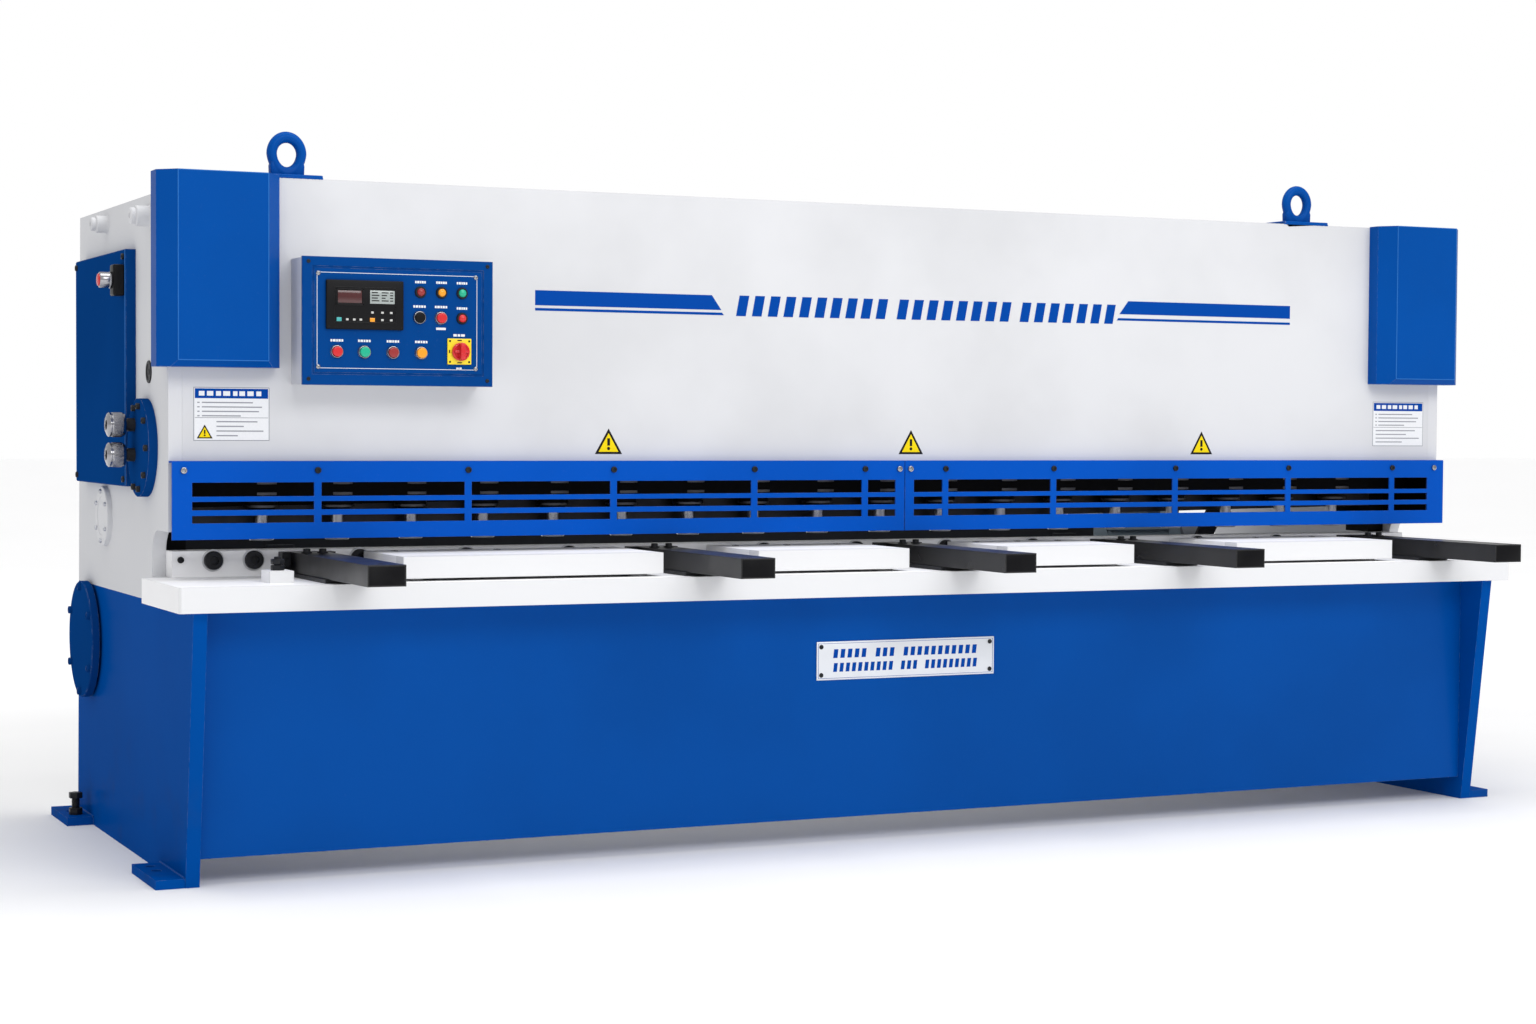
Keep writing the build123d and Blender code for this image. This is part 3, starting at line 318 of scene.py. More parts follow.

table_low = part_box("table_plate")[0]
panel_low, panel_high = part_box("upper_front_panel")
INNER_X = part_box("bed_beam")[1][0] + 1 * MM     # just outside the inner faces of the side plates
guide_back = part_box("ram_guides")[1][1]
OUTER_X = panel_high[0]                         # outer faces of the side plates
finish = {
    "machine_blue": machine_paint("machine_blue", BLUE, pale_edges=0.6),
    # a darker copy of the machine blue for the side-facing covers: painted shade
    "side_blue_shaded": machine_paint("side_blue_shaded", rgb(0.003, 0.050, 0.220), pale_edges=0.7, coat=0.0,
                               shine=0.0),
    "guard_blue": machine_paint("guard_blue", BRIGHT_BLUE, rough=0.38, peel=0.18, pale_edges=0.2),
    "fascia_blue": machine_paint("fascia_blue", rgb(0.0, 0.050, 0.235), rough=0.3, peel=0.05),
    "machine_white": machine_paint("machine_white", WHITE, rough=0.36, pale_edges=0.0, dust=0.0),
    "side_paint": two_tone_paint("side_paint", WHITE, BLUE, table_low[2]),
    "frame_grey": machine_paint("frame_grey", GREY, rough=0.5, pale_edges=0.3),
    "dark_grey": machine_paint("dark_grey", rgb(0.03, 0.032, 0.036), rough=0.5, pale_edges=0.3),
    # near black on the front faces of ram and beam: painted shade; grey paint behind
    "ram_paint": front_and_rear("ram_paint", NEAR_BLACK, GREY, RAM_SHADE_TO),
    "beam_paint": front_and_rear("beam_paint", NEAR_BLACK, GREY, BEAM_SHADE_TO),
    # lighter white for the bed front and the table tops behind their front edges: painted light
    "bed_painted_light_white": machine_paint("bed_painted_light_white", PAINTED_LIGHT_WHITE, rough=0.36, pale_edges=0.0, dust=0.0),
    "plate_white": front_and_rear("plate_white", TABLE_WHITE, PAINTED_LIGHT_WHITE, table_low[1] + 4 * MM,
                                  cloudy=0.03),
    "block_white": front_and_rear("block_white", TABLE_WHITE, PAINTED_LIGHT_WHITE,
                                  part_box("table_blocks")[0][1] + 50 * MM, cloudy=0.03),
    # lighter blue for the lines along the cover folds: painted highlight
    "fold_highlight_blue": machine_paint("fold_highlight_blue", rgb(0.030, 0.170, 0.520), pale_edges=0.0),
    "cast_grey": machine_paint("cast_grey", rgb(0.16, 0.20, 0.23), rough=0.45, peel=0.4,
                               grain=240.0),
    "arm_black": black_finish("arm_black", NEAR_BLACK, rough=0.32, shine=0.42),
    "cap_black": black_finish("cap_black", NEAR_BLACK, rough=0.45, pale_edges=0.2, shine=0.10),
    "oxide_black": black_finish("oxide_black", rough=0.42, pale_edges=0.3, grain=700.0),
    "shadow_black": black_finish("shadow_black", rgb(0.003, 0.003, 0.004), rough=0.5, pale_edges=0.0,
                                 shine=0.05),
    # near-black steel for both blades: painted shade, since the space behind the guard is dark
    "dark_steel": metal_finish("dark_steel", rgb(0.045, 0.045, 0.050), rough=0.42, stain=0.4),
    "band_steel": metal_finish("band_steel", rgb(0.12, 0.12, 0.13), rough=0.35, stain=0.5),
    "turned_steel": metal_finish("turned_steel", rgb(0.62, 0.63, 0.66), rough=0.22),
    "ground_steel": metal_finish("ground_steel", rgb(0.50, 0.51, 0.53), rough=0.30,
                                 stretch=(0.05, 1, 1)),
    "chrome": metal_finish("chrome", rgb(0.36, 0.36, 0.38), rough=0.10, stain=0.3, cut=0.02),
    "plate_silver": metal_finish("plate_silver", rgb(0.72, 0.74, 0.78), rough=0.34,
                                 stretch=(0.04, 1, 1), scale=900.0, stain=0.08, cut=0.05),
    "belt_rubber": black_finish("belt_rubber", rgb(0.02, 0.02, 0.02), rough=0.7, pale_edges=0.1),
    "black_plastic": plastic("black_plastic", rgb(0.006, 0.006, 0.007), rough=0.38, coat=0.02,
                             shine=0.12),
    "dark_screen": plastic("dark_screen", rgb(0.06, 0.005, 0.006), rough=0.12, coat=0.6),
    "grey_screen": plastic("grey_screen", rgb(0.34, 0.38, 0.37), rough=0.18, coat=0.5),
    "red_plastic": plastic("red_plastic", rgb(0.62, 0.010, 0.014)),
    "dark_red_plastic": plastic("dark_red_plastic", rgb(0.30, 0.018, 0.018)),
    "green_plastic": plastic("green_plastic", rgb(0.0, 0.42, 0.24)),
    "amber_plastic": plastic("amber_plastic", rgb(0.88, 0.33, 0.005)),
    "yellow_plastic": plastic("yellow_plastic", rgb(0.86, 0.66, 0.005)),
    "teal_plastic": plastic("teal_plastic", rgb(0.05, 0.40, 0.40)),
    "pale_key": plastic("pale_key", rgb(0.55, 0.55, 0.53), rough=0.4),
    "blue_print": printed("blue_print", rgb(0.000, 0.055, 0.33)),
    "white_print": printed("white_print", rgb(0.82, 0.83, 0.85)),
    "grey_print": printed("grey_print", rgb(0.30, 0.31, 0.34)),
    "yellow_print": printed("yellow_print", rgb(0.90, 0.68, 0.01)),
    "black_print": printed("black_print", rgb(0.015, 0.015, 0.015)),
    # near black for the knob recesses and fan cover openings: painted shade
    "hole_shade_black": printed("hole_shade_black", rgb(0.004, 0.004, 0.004), rough=0.8),
}

node_finish = {
    "left_side_plate": "side_paint", "right_side_plate": "side_paint",
    "side_cover": "side_blue_shaded", "gap_flange": "side_blue_shaded", "drive_cover": "side_blue_shaded",
    "table_plate": "plate_white", "table_blocks": "block_white", "bed_beam": "bed_painted_light_white",
    "control_box": "machine_white", "control_fascia": "fascia_blue",
    "hold_down_beam": "beam_paint", "ram": "ram_paint",
    "ram_guides": "shadow_black", "hold_down_cylinders": "shadow_black", "motor": "cast_grey",
    "support_arms": "arm_black", "arm_brackets": "oxide_black", "flywheel": "frame_grey",
    "lower_blade": "dark_steel", "upper_blade": "dark_steel",
    "hold_down_feet": "turned_steel", "main_gear": "ground_steel", "main_shaft": "turned_steel",
    "countershaft": "turned_steel", "name_plate": "plate_silver", "button_bezels": "chrome",
    "gauge_screw_left": "turned_steel", "gauge_screw_right": "turned_steel",
    "gauge_beam": "dark_grey", "levelling_bolts": "oxide_black", "motor_pulley": "frame_grey",
}


slot_finish = {"black_steel": "oxide_black", "bright_steel": "turned_steel",
               "tool_steel": "ground_steel"}


def finish_cad_nodes():
    """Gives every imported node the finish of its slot, or its own."""
    for entry in frame["record"]["subparts"]:
        node = NODES[entry["node"]]
        slot = entry["material_slot"]
        chosen = node_finish.get(entry["node"], slot_finish.get(slot, slot))
        node.data.materials.clear()
        node.data.materials.append(finish[chosen])


finish_cad_nodes()


# ---------------------------------------------------------------- shape building
class Shape:
    """A piece being modelled, in metres, in the machine's own frame."""

    def __init__(self):
        self.mesh = bmesh.new()

    def soften(self, edges, offset, segments=2):
        bmesh.ops.bevel(self.mesh, geom=edges, offset=offset, segments=segments, profile=0.5,
                        affect="EDGES", material=-1, offset_type="OFFSET")

    def box(self, low, high, bevel=0.0, segments=2):
        """A block between two corners, with softened edges."""
        made = bmesh.ops.create_cube(self.mesh, size=1.0)["verts"]
        size = [abs(b - a) for a, b in zip(low, high)]
        middle = [(a + b) / 2 for a, b in zip(low, high)]
        bmesh.ops.scale(self.mesh, vec=size, verts=made)
        bmesh.ops.translate(self.mesh, vec=middle, verts=made)
        if bevel:
            self.soften(list({e for v in made for e in v.link_edges}), bevel, segments)
        return self

    def rod(self, start, end, radius, bevel=0.0, sides=40, tip=None, segments=2):
        """A round or many-sided bar between two points."""
        start, end = Vector(start), Vector(end)
        along = end - start
        turn = Vector((0, 0, 1)).rotation_difference(along).to_matrix().to_4x4()
        place = Matrix.Translation((start + end) / 2) @ turn
        made = bmesh.ops.create_cone(self.mesh, cap_ends=True, segments=sides, radius1=radius,
                                     radius2=radius if tip is None else tip,
                                     depth=along.length, matrix=place)["verts"]
        if bevel:
            rims = [e for v in made for e in v.link_edges
                    if any(len(f.verts) > 4 or sides <= 4 for f in e.link_faces)]
            self.soften(list(set(rims)), bevel, segments)
        return self

    def turned(self, start, along, profile, sides=48):
        """A lathe-turned piece: profile is (distance along, radius) pairs."""
        along = Vector(along).normalized()
        side = along.orthogonal().normalized()
        start = Vector(start)
        verts = [self.mesh.verts.new(start + along * d + side * r) for d, r in profile]
        edges = [self.mesh.edges.new(pair) for pair in zip(verts, verts[1:])]
        bmesh.ops.spin(self.mesh, geom=verts + edges, cent=start, axis=along,
                       angle=math.tau, steps=sides, use_merge=True)
        return self

    def plate(self, points, lift, bevel=0.0):
        """A flat outline raised by a vector."""
        verts = [self.mesh.verts.new(p) for p in points]
        face = self.mesh.faces.new(verts)
        raised = bmesh.ops.extrude_face_region(self.mesh, geom=[face], use_keep_orig=True)["geom"]
        moved = [g for g in raised if isinstance(g, bmesh.types.BMVert)]
        bmesh.ops.translate(self.mesh, vec=lift, verts=moved)
        if bevel:
            ring = {e for v in verts + moved for e in v.link_edges}
            self.soften(list(ring), bevel)
        return self

    def make(self, name, body, slot, look, angle=35.0, replaces=()):
        """Ends the piece: cleans it, gives its finish and hands it to its body."""
        bmesh.ops.remove_doubles(self.mesh, verts=self.mesh.verts[:], dist=0.00001)
        bmesh.ops.recalc_face_normals(self.mesh, faces=self.mesh.faces[:])
        data = bpy.data.meshes.new(name)
        self.mesh.to_mesh(data)
        self.mesh.free()
        data.shade_smooth()
        data.set_sharp_from_angle(angle=math.radians(angle))
        data.materials.append(finish[look])
        piece = bpy.data.objects.new(name, data)
        bpy.context.scene.collection.objects.link(piece)
        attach(piece, body)
        if replaces:
            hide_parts(*replaces)
        return piece


def solids(node):
    """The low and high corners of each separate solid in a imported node."""
    merged = bmesh.new()
    merged.from_mesh(NODES[node].data)
    bmesh.ops.remove_doubles(merged, verts=merged.verts[:], dist=0.00002)
    seen, found = set(), []
    for first in merged.verts:
        if first in seen:
            continue
        seen.add(first)
        group, waiting = [], [first]
        while waiting:
            vert = waiting.pop()
            group.append(vert.co.copy())
            for edge in vert.link_edges:
                other = edge.other_vert(vert)
                if other not in seen:
                    seen.add(other)
                    waiting.append(other)
        low = Vector([min(c[i] for c in group) for i in range(3)])
        high = Vector([max(c[i] for c in group) for i in range(3)])
        found.append((low, high))
    merged.free()
    return sorted(found, key=lambda pair: tuple(round(c, 4) for c in pair[0]))


def centre(pair):
    return (pair[0] + pair[1]) / 2


def round_solid(low, high, along):
    """Where the axis of a round solid passes, and its radius. along is the axis it lies on."""
    first, second = (i for i in range(3) if i != along)
    radius = (high[first] - low[first]) / 2
    return (low[first] + high[first]) / 2, (low[second] + high[second]) / 2, radius


def border(x, z, thick):
    """Four bars round a rectangle: x and z of each bar, as (low, high) pairs."""
    return ((x, (z[0], z[0] + thick)), (x, (z[1] - thick, z[1])),
            ((x[0], x[0] + thick), z), ((x[1] - thick, x[1]), z))


def mm(profile):
    """A profile given in millimetres, in metres."""
    return [(a * MM, b * MM) for a, b in profile]


# ---------------------------------------------------------------- socket screws and hex bolts
def socket_screw(shape, head, out, radius, height, across=0.62):
    """A socket cap screw: a domed rim round a hexagon recess. head is the face it sits on."""
    head, out = Vector(head), Vector(out).normalized()
    rim, floor = radius * 0.16, height * 0.45
    shape.turned(head, out,
                 [(0.0, radius), (height - rim, radius), (height - rim * 0.3, radius - rim * 0.3),
                             (height, radius - rim), (height, radius * across),
                             (floor, radius * across * 0.92), (floor, radius * 0.2),
                             (floor * 1.1, 0.0)], sides=24)


def flat_screws(shape, xs, zs, face, profile, sides=24):
    """Small round screws at every x and z, on a face that looks towards -Y."""
    for x in xs:
        for z in zs:
            shape.turned((x, face, z), (0, -1, 0), mm(profile), sides=sides)


def face_screws(name, node, pick, out, look, slot, radius_share=0.5):
    """Modelled socket screws in place of the plain solids that pick chooses."""
    shape = Shape()
    out = Vector(out)
    axis = max(range(3), key=lambda i: abs(out[i]))
    for pair in solids(node):
        if not pick(pair):
            continue
        size = pair[1] - pair[0]
        at = centre(pair)
        at[axis] = pair[1][axis] if out[axis] < 0 else pair[0][axis]
        across = [size[i] for i in range(3) if i != axis]
        socket_screw(shape, at, out, max(across) * radius_share, size[axis])
    return shape.make(name, "frame", slot, look)


guard_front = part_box("guard_left")[0][1]
disc_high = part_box("drive_cover")[1]


def bearing_cap():
    """The low and high corners of the round cap on the left side."""
    return max(solids("side_bosses"), key=lambda s: s[1][2] - s[0][2])


cap_high = bearing_cap()[1]


def is_guard_screw(pair):
    return pair[0][1] < guard_front


def is_end_screw(pair):
    """The bright screws at the ends of the two guard panels."""
    middle = centre(pair)[0]
    ends = [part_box("guard_left")[0][0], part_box("guard_left")[1][0],
            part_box("guard_right")[0][0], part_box("guard_right")[1][0]]
    return is_guard_screw(pair) and min(abs(middle - end) for end in ends) < 0.06


def screw_group():
    """All small socket screws, in the finishes that they have."""
    front = face_screws("guard_screws_black", "cover_screws",
                        lambda s: is_guard_screw(s) and not is_end_screw(s), (0, -1, 0),
                        "oxide_black", "black_steel")
    face_screws("guard_screws_bright", "cover_screws", is_end_screw, (0, -1, 0), "chrome",
                "bright_steel")
    face_screws("side_cover_screws", "cover_screws",
                lambda s: not is_guard_screw(s) and s[1][2] > cap_high[2],
                (-1, 0, 0), "oxide_black", "black_steel")
    face_screws("bearing_cap_screws", "cover_screws",
                lambda s: disc_high[2] < s[1][2] < cap_high[2],
                (-1, 0, 0), "turned_steel", "bright_steel")
    face_screws("drive_cover_bolts", "cover_screws", lambda s: s[0][2] < disc_high[2],
                (-1, 0, 0), "side_blue_shaded", "machine_blue")
    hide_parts("cover_screws")


screw_group()


def bed_bolt_group():
    """Large socket bolts along the bed, and the stud with lock nuts on the side stop."""
    shape, seats = Shape(), Shape()
    bolts = [s for s in solids("bed_bolts") if s[1][2] - s[0][2] > 0.02 and
             abs((s[1][1] - s[0][1]) - 14 * MM) < 2 * MM]
    for pair in bolts:
        at = centre(pair)
        at[1] = pair[1][1]
        radius = (pair[1][0] - pair[0][0]) / 2
        seats.turned(at, (0, -1, 0), [(0, radius + 4 * MM), (2 * MM, radius + 4 * MM),
                                      (2.6 * MM, radius + 3.4 * MM), (2.6 * MM, radius)], sides=40)
        socket_screw(shape, at, (0, -1, 0), radius, 14 * MM, across=0.5)
    bolt_z = centre(bolts[0])[2]
    face_y = bolts[0][1][1]
    end_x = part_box("bed_beam")[0][0] + 19 * MM
    socket_screw(shape, (end_x, face_y, bolt_z + 2 * MM), (0, -1, 0), 7 * MM, 6 * MM)
    others = [s for s in solids("bed_bolts") if s not in bolts]
    low = Vector([min(s[0][i] for s in others) for i in range(3)])
    high = Vector([max(s[1][i] for s in others) for i in range(3)])
    mid = (low + high) / 2
    thread = [(0.0, 8 * MM)]
    length, turns = high[2] - low[2], 12
    for i in range(turns):
        step = length / turns
        thread += [(step * (i + 0.35), 8 * MM), (step * (i + 0.7), 7 * MM)]
    thread += [(length - 1 * MM, 7.6 * MM), (length, 6.4 * MM), (length, 0.0)]
    shape.turned((mid[0], mid[1], low[2]), (0, 0, 1), thread, sides=24)
    for base in (0.0, 13 * MM):
        shape.rod((mid[0], mid[1], low[2] + base), (mid[0], mid[1], low[2] + base + 11 * MM),
                  15 * MM, bevel=1.4 * MM, sides=6)
    shape.make("bed_bolt_heads", "frame", "black_steel", "oxide_black", replaces=("bed_bolts",))
    seats.make("bed_bolt_seats", "frame", "machine_white", "machine_white")


bed_bolt_group()


# ---------------------------------------------------------------- lifting eyes
def lifting_eye_group():
    """Forged eyes: a round bar bent to an oval on a flared neck and a welded pad."""
    shape = Shape()
    for low, high in solids("lifting_eyes"):
        x = (low[0] + high[0]) / 2
        pad_top = low[2] + 8 * MM
        shape.box(low, (high[0], high[1], pad_top), bevel=2 * MM)
        y = (low[1] + high[1]) / 2
        bar, reach = 12.5 * MM, 36.5 * MM
        start = len(shape.mesh.verts)
        middle_z = high[2] - reach - bar
        circle = bmesh.ops.create_circle(shape.mesh, segments=20, radius=bar,
                                         matrix=Matrix.Translation((x, y, middle_z + reach))
                                         @ Matrix.Rotation(math.radians(90), 4, "Y"))["verts"]
        rim = list({e for v in circle for e in v.link_edges})
        bmesh.ops.spin(shape.mesh, geom=circle + rim, cent=(x, y, middle_z), axis=(0, 1, 0),
                       angle=math.tau, steps=48, use_merge=True)
        shape.mesh.verts.ensure_lookup_table()
        for vert in shape.mesh.verts[start:]:
            vert.co.x = x + (vert.co.x - x) * 0.90
            below = middle_z - vert.co.z
            if below > 0:
                vert.co.z -= below * 0.16
                vert.co.x = x + (vert.co.x - x) * (1.0 - min(below / reach, 1.0) * 0.10)
        outline = [(-37, 7), (37, 7), (38, 30), (33, 42), (20, 33), (8, 25), (-8, 25), (-20, 33),
                   (-33, 42), (-38, 30)]
        neck = [(x + a * MM, y, low[2] + b * MM) for a, b in outline]
        half = 11.5 * MM
        shape.plate([(a, b - half, c) for a, b, c in neck], (0, 2 * half, 0), bevel=3 * MM)
    shape.make("lifting_eye_forgings", "frame", "machine_blue", "machine_blue", angle=50,
               replaces=("lifting_eyes",))


lifting_eye_group()


def fold_highlight_group():
    """Thin lighter lines along the folds of the corner covers and the side cover, as painted highlights on the
    folds.
    """
    shape = Shape()
    line = 1.1 * MM
    for node, side in (("left_top_cover", -1), ("right_top_cover", 1)):
        low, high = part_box(node)
        near, far = (high[0], low[0]) if side < 0 else (low[0], high[0])
        folds = (near + side * 34 * MM, far - side * 38 * MM)
        for x in folds:
            shape.rod((x, low[1] + line / 2, low[2] + 14 * MM),
                      (x, low[1] + line / 2, high[2] - line),
                      line, sides=6)
        for z, y in ((low[2] + 14 * MM, low[1]), (high[2] - line, low[1])):
            shape.rod((folds[0], y + line / 2, z), (folds[1], y + line / 2, z), line, sides=6)
    low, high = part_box("side_cover")
    for y in (low[1] + 2 * MM, high[1] - 2 * MM):
        shape.rod((low[0] + 0.4 * MM, y, low[2] + 3 * MM), (low[0] + 0.4 * MM, y, high[2] - 3 * MM),
                  line, sides=6)
    shape.make("painted_fold_highlights", "frame", "machine_blue", "fold_highlight_blue")


fold_highlight_group()


# ---------------------------------------------------------------- gap adjusting knobs
def knurled_knob(node):
    """A chrome knob with straight knurling, a polished nose and a hexagon recess."""
    low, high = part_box(node)
    y, z = (low[1] + high[1]) / 2, (low[2] + high[2]) / 2
    radius = (high[1] - low[1]) / 2
    shape = Shape()
    nose, back = low[0], low[0] + 41 * MM
    shape.turned((nose, y, z), (1, 0, 0),
                 [(17 * MM, 0), (17 * MM, 10 * MM), (1.5 * MM, 11 * MM), (0, 12.5 * MM),
                  (0, 17 * MM), (2 * MM, 20 * MM), (3 * MM, 24 * MM), (6 * MM, radius - 0.6 * MM),
                  (9 * MM, radius - 0.6 * MM), (9.5 * MM, radius - 1.6 * MM),
                  (11 * MM, radius - 1.6 * MM), (11.5 * MM, radius - 1.2 * MM),
                  (back - nose - 5 * MM, radius - 1.2 * MM),
                  (back - nose - 1 * MM, radius - 3 * MM),
                  (back - nose, radius - 5 * MM), (back - nose, 0)], sides=72)
    teeth = 60
    for i in range(teeth):
        angle = math.tau * i / teeth
        out = Vector((0, math.cos(angle), math.sin(angle)))
        foot = Vector((nose + 13 * MM, y, z)) + out * (radius - 1.3 * MM)
        end = foot + Vector((back - nose - 20 * MM, 0, 0))
        shape.rod(foot, end, 1.2 * MM, sides=4)
    shape.make(node + "_knurled", node, "bright_steel", "chrome", replaces=(node,))
    stem = Shape()
    stem.turned((back, y, z), (1, 0, 0),
                [(0, 0), (0, 13 * MM), (6 * MM, 13 * MM), (6.5 * MM, 14.8 * MM),
                 (high[0] - back, 14.8 * MM), (high[0] - back, 0)])
    stem.make(node + "_stem", node, "black_steel", "oxide_black")
    recess = Shape()
    recess.turned((nose, y, z), (1, 0, 0),
                  mm([(16, 0), (16, 9.4), (2.2, 10.2), (1.2, 11.4), (2.2, 11.0), (16.8, 10.0),
                      (16.8, 0)]), sides=6)
    # the hexagon recess is painted near black: painted shade in the hollow
    recess.make(node + "_recess", node, "black_steel", "hole_shade_black")


for knob in ("gap_knob_lower", "gap_knob_upper"):
    knurled_knob(knob)


# ---------------------------------------------------------------- control panel
fascia_low, fascia_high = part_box("control_fascia")
FACE = fascia_low[1]
PUSH_BUTTONS = {"button_red": "red_plastic", "button_green": "green_plastic",
                "button_dark_red": "dark_red_plastic", "button_amber": "amber_plastic",
                "button_black": "black_plastic", "button_stop": "red_plastic"}


def push_button(node, look):
    """A slightly crowned cap with a rounded rim, on its stem."""
    low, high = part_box(node)
    x, z = (low[0] + high[0]) / 2, (low[2] + high[2]) / 2
    radius, length = (high[0] - low[0]) / 2, high[1] - low[1]
    shape = Shape()
    shape.turned((x, high[1], z), (0, -1, 0),
                 [(0, 0), (0, radius), (length - 1.6 * MM, radius),
                  (length - 0.8 * MM, radius - 0.3 * MM), (length - 0.4 * MM, radius - 1.0 * MM),
                  (length - 0.2 * MM, radius - 2.4 * MM), (length, 0)], sides=40)
    slot = next(e["material_slot"] for e in frame["record"]["subparts"] if e["node"] == node)
    shape.make(node + "_cap", node, slot, look, replaces=(node,))


for node, look in PUSH_BUTTONS.items():
    push_button(node, look)


def bezel_group():
    """Polished rings with a stepped flange round the push buttons."""
    shape = Shape()
    for low, high in solids("button_bezels"):
        x, z, radius = round_solid(low, high, 1)
        inner = radius - 3.6 * MM
        shape.turned((x, FACE, z), (0, -1, 0),
                     [(0, inner), (0, radius), (1.2 * MM, radius), (1.8 * MM, radius - 0.5 * MM),
                      (3.6 * MM, radius - 1.2 * MM), (4.8 * MM, radius - 1.9 * MM),
                      (5.0 * MM, radius - 2.6 * MM), (4.6 * MM, inner), (0, inner)], sides=48)
    shape.make("bezel_rings", "frame", "bright_steel", "chrome", replaces=("button_bezels",))


bezel_group()


def lamp_group():
    """Indicator lamps and rotary selectors: dark collars with domed coloured lenses."""
    collars = Shape()
    lamps = sorted(solids("indicator_lamps"), key=lambda s: (round(-s[0][2], 3), s[0][0]))
    order = ["dark_red_plastic", "amber_plastic", "green_plastic", "red_plastic"]
    for i, ((low, high), look) in enumerate(zip(lamps, order)):
        x, z, radius = round_solid(low, high, 1)
        collars.turned((x, FACE, z), (0, -1, 0),
                       [(0, radius - 5 * MM), (0, radius), (2 * MM, radius),
                        (3.4 * MM, radius - 0.8 * MM), (5 * MM, radius - 1.6 * MM),
                        (5 * MM, radius - 4 * MM), (0, radius - 5 * MM)], sides=40)
        lens = Shape()
        dome = radius - 4.4 * MM
        lens.turned((x, FACE, z), (0, -1, 0),
                    [(1 * MM, 0), (1 * MM, dome), (5.5 * MM, dome), (7.4 * MM, dome * 0.9),
                     (8.8 * MM, dome * 0.66), (9.6 * MM, dome * 0.34), (9.9 * MM, 0)], sides=32)
        lens.make(f"lamp_lens_{i + 1}", "frame", "dark_red_plastic", look)
    collars.make("lamp_collars", "frame", "dark_red_plastic", "oxide_black",
                 replaces=("indicator_lamps",))


lamp_group()


# ---------------------------------------------------------------- display and panel printing
def panel_print(shape, x, z, proud=0.35 * MM, face=FACE):
    """A thin raised print on a face that looks towards -Y: x and z are (low, high) pairs."""
    shape.box((x[0], face - proud, z[0]), (x[1], face, z[1]))


def display_group():
    """A black controller with a bevelled frame, two screens and two rows of soft keys."""
    low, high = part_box("display_unit")
    case = Shape()
    case.box(low, high, bevel=2.2 * MM, segments=3)
    front = low[1]
    wide, tall = high[0] - low[0], high[2] - low[2]

    def spot(u, v):
        return low[0] + u * wide, low[2] + v * tall

    for start, end, thick, proud, bevel in (((0.10, 0.14), (0.90, 0.86), 1.6, 1.6, 0.5),
                                            ((0.12, 0.49), (0.48, 0.83), 3.0, 2.2, 0.6)):
        across, up = zip(spot(*start), spot(*end))
        for x, z in border(across, up, thick * MM):
            case.box((x[0], front - proud * MM, z[0]), (x[1], front + 1 * MM, z[1]),
                     bevel=bevel * MM)
    flat_screws(case, *zip(spot(0.03, 0.05), spot(0.97, 0.95)), front,
                [(0, 1.8), (0.6, 1.7), (0.9, 1.2), (0.9, 0)], sides=16)
    case.make("display_case", "frame", "black_plastic", "black_plastic",
              replaces=("display_unit",))
    for name, look, start, end in (("red", "dark_screen", (0.145, 0.535), (0.455, 0.785)),
                                   ("grey", "grey_screen", (0.56, 0.53), (0.88, 0.80))):
        screen = Shape()
        a, b = spot(*start), spot(*end)
        screen.box((a[0], front - 0.5 * MM, a[1]), (b[0], front + 1 * MM, b[1]), bevel=0.3 * MM)
        screen.make(f"display_{name}_screen", "frame", "black_plastic", look)
    # simple bars stand for the readings on the grey screen
    bars = Shape()
    for row in range(4):
        v = 0.745 - row * 0.055
        for start, end in ((0.58, 0.66 + 0.02 * (row % 2)), (0.71, 0.80 - 0.02 * (row % 3)),
                           (0.82, 0.86)):
            a, b = spot(start, v), spot(end, v + 0.022)
            panel_print(bars, (a[0], b[0]), (a[1], b[1]), face=front - 0.5 * MM, proud=0.15 * MM)
    bars.make("display_readings", "frame", "black_plastic", "black_print")
    keys = {"teal_plastic": [(0.16, 0.20)], "amber_plastic": [(0.59, 0.20)],
            "pale_key": [(0.265, 0.20), (0.355, 0.20), (0.44, 0.20), (0.72, 0.20), (0.835, 0.20),
                         (0.59, 0.35), (0.72, 0.35), (0.835, 0.35)]}
    for look, places in keys.items():
        shape = Shape()
        for u, v in places:
            x, z = spot(u, v)
            half = 2.2 * MM if look == "pale_key" else 4.2 * MM
            shape.box((x - half * 1.3, front - 1.1 * MM, z - half),
                      (x + half * 1.3, front + 1 * MM, z + half), bevel=0.4 * MM)
        shape.make("display_keys_" + look.split("_")[0], "frame", "black_plastic", look)


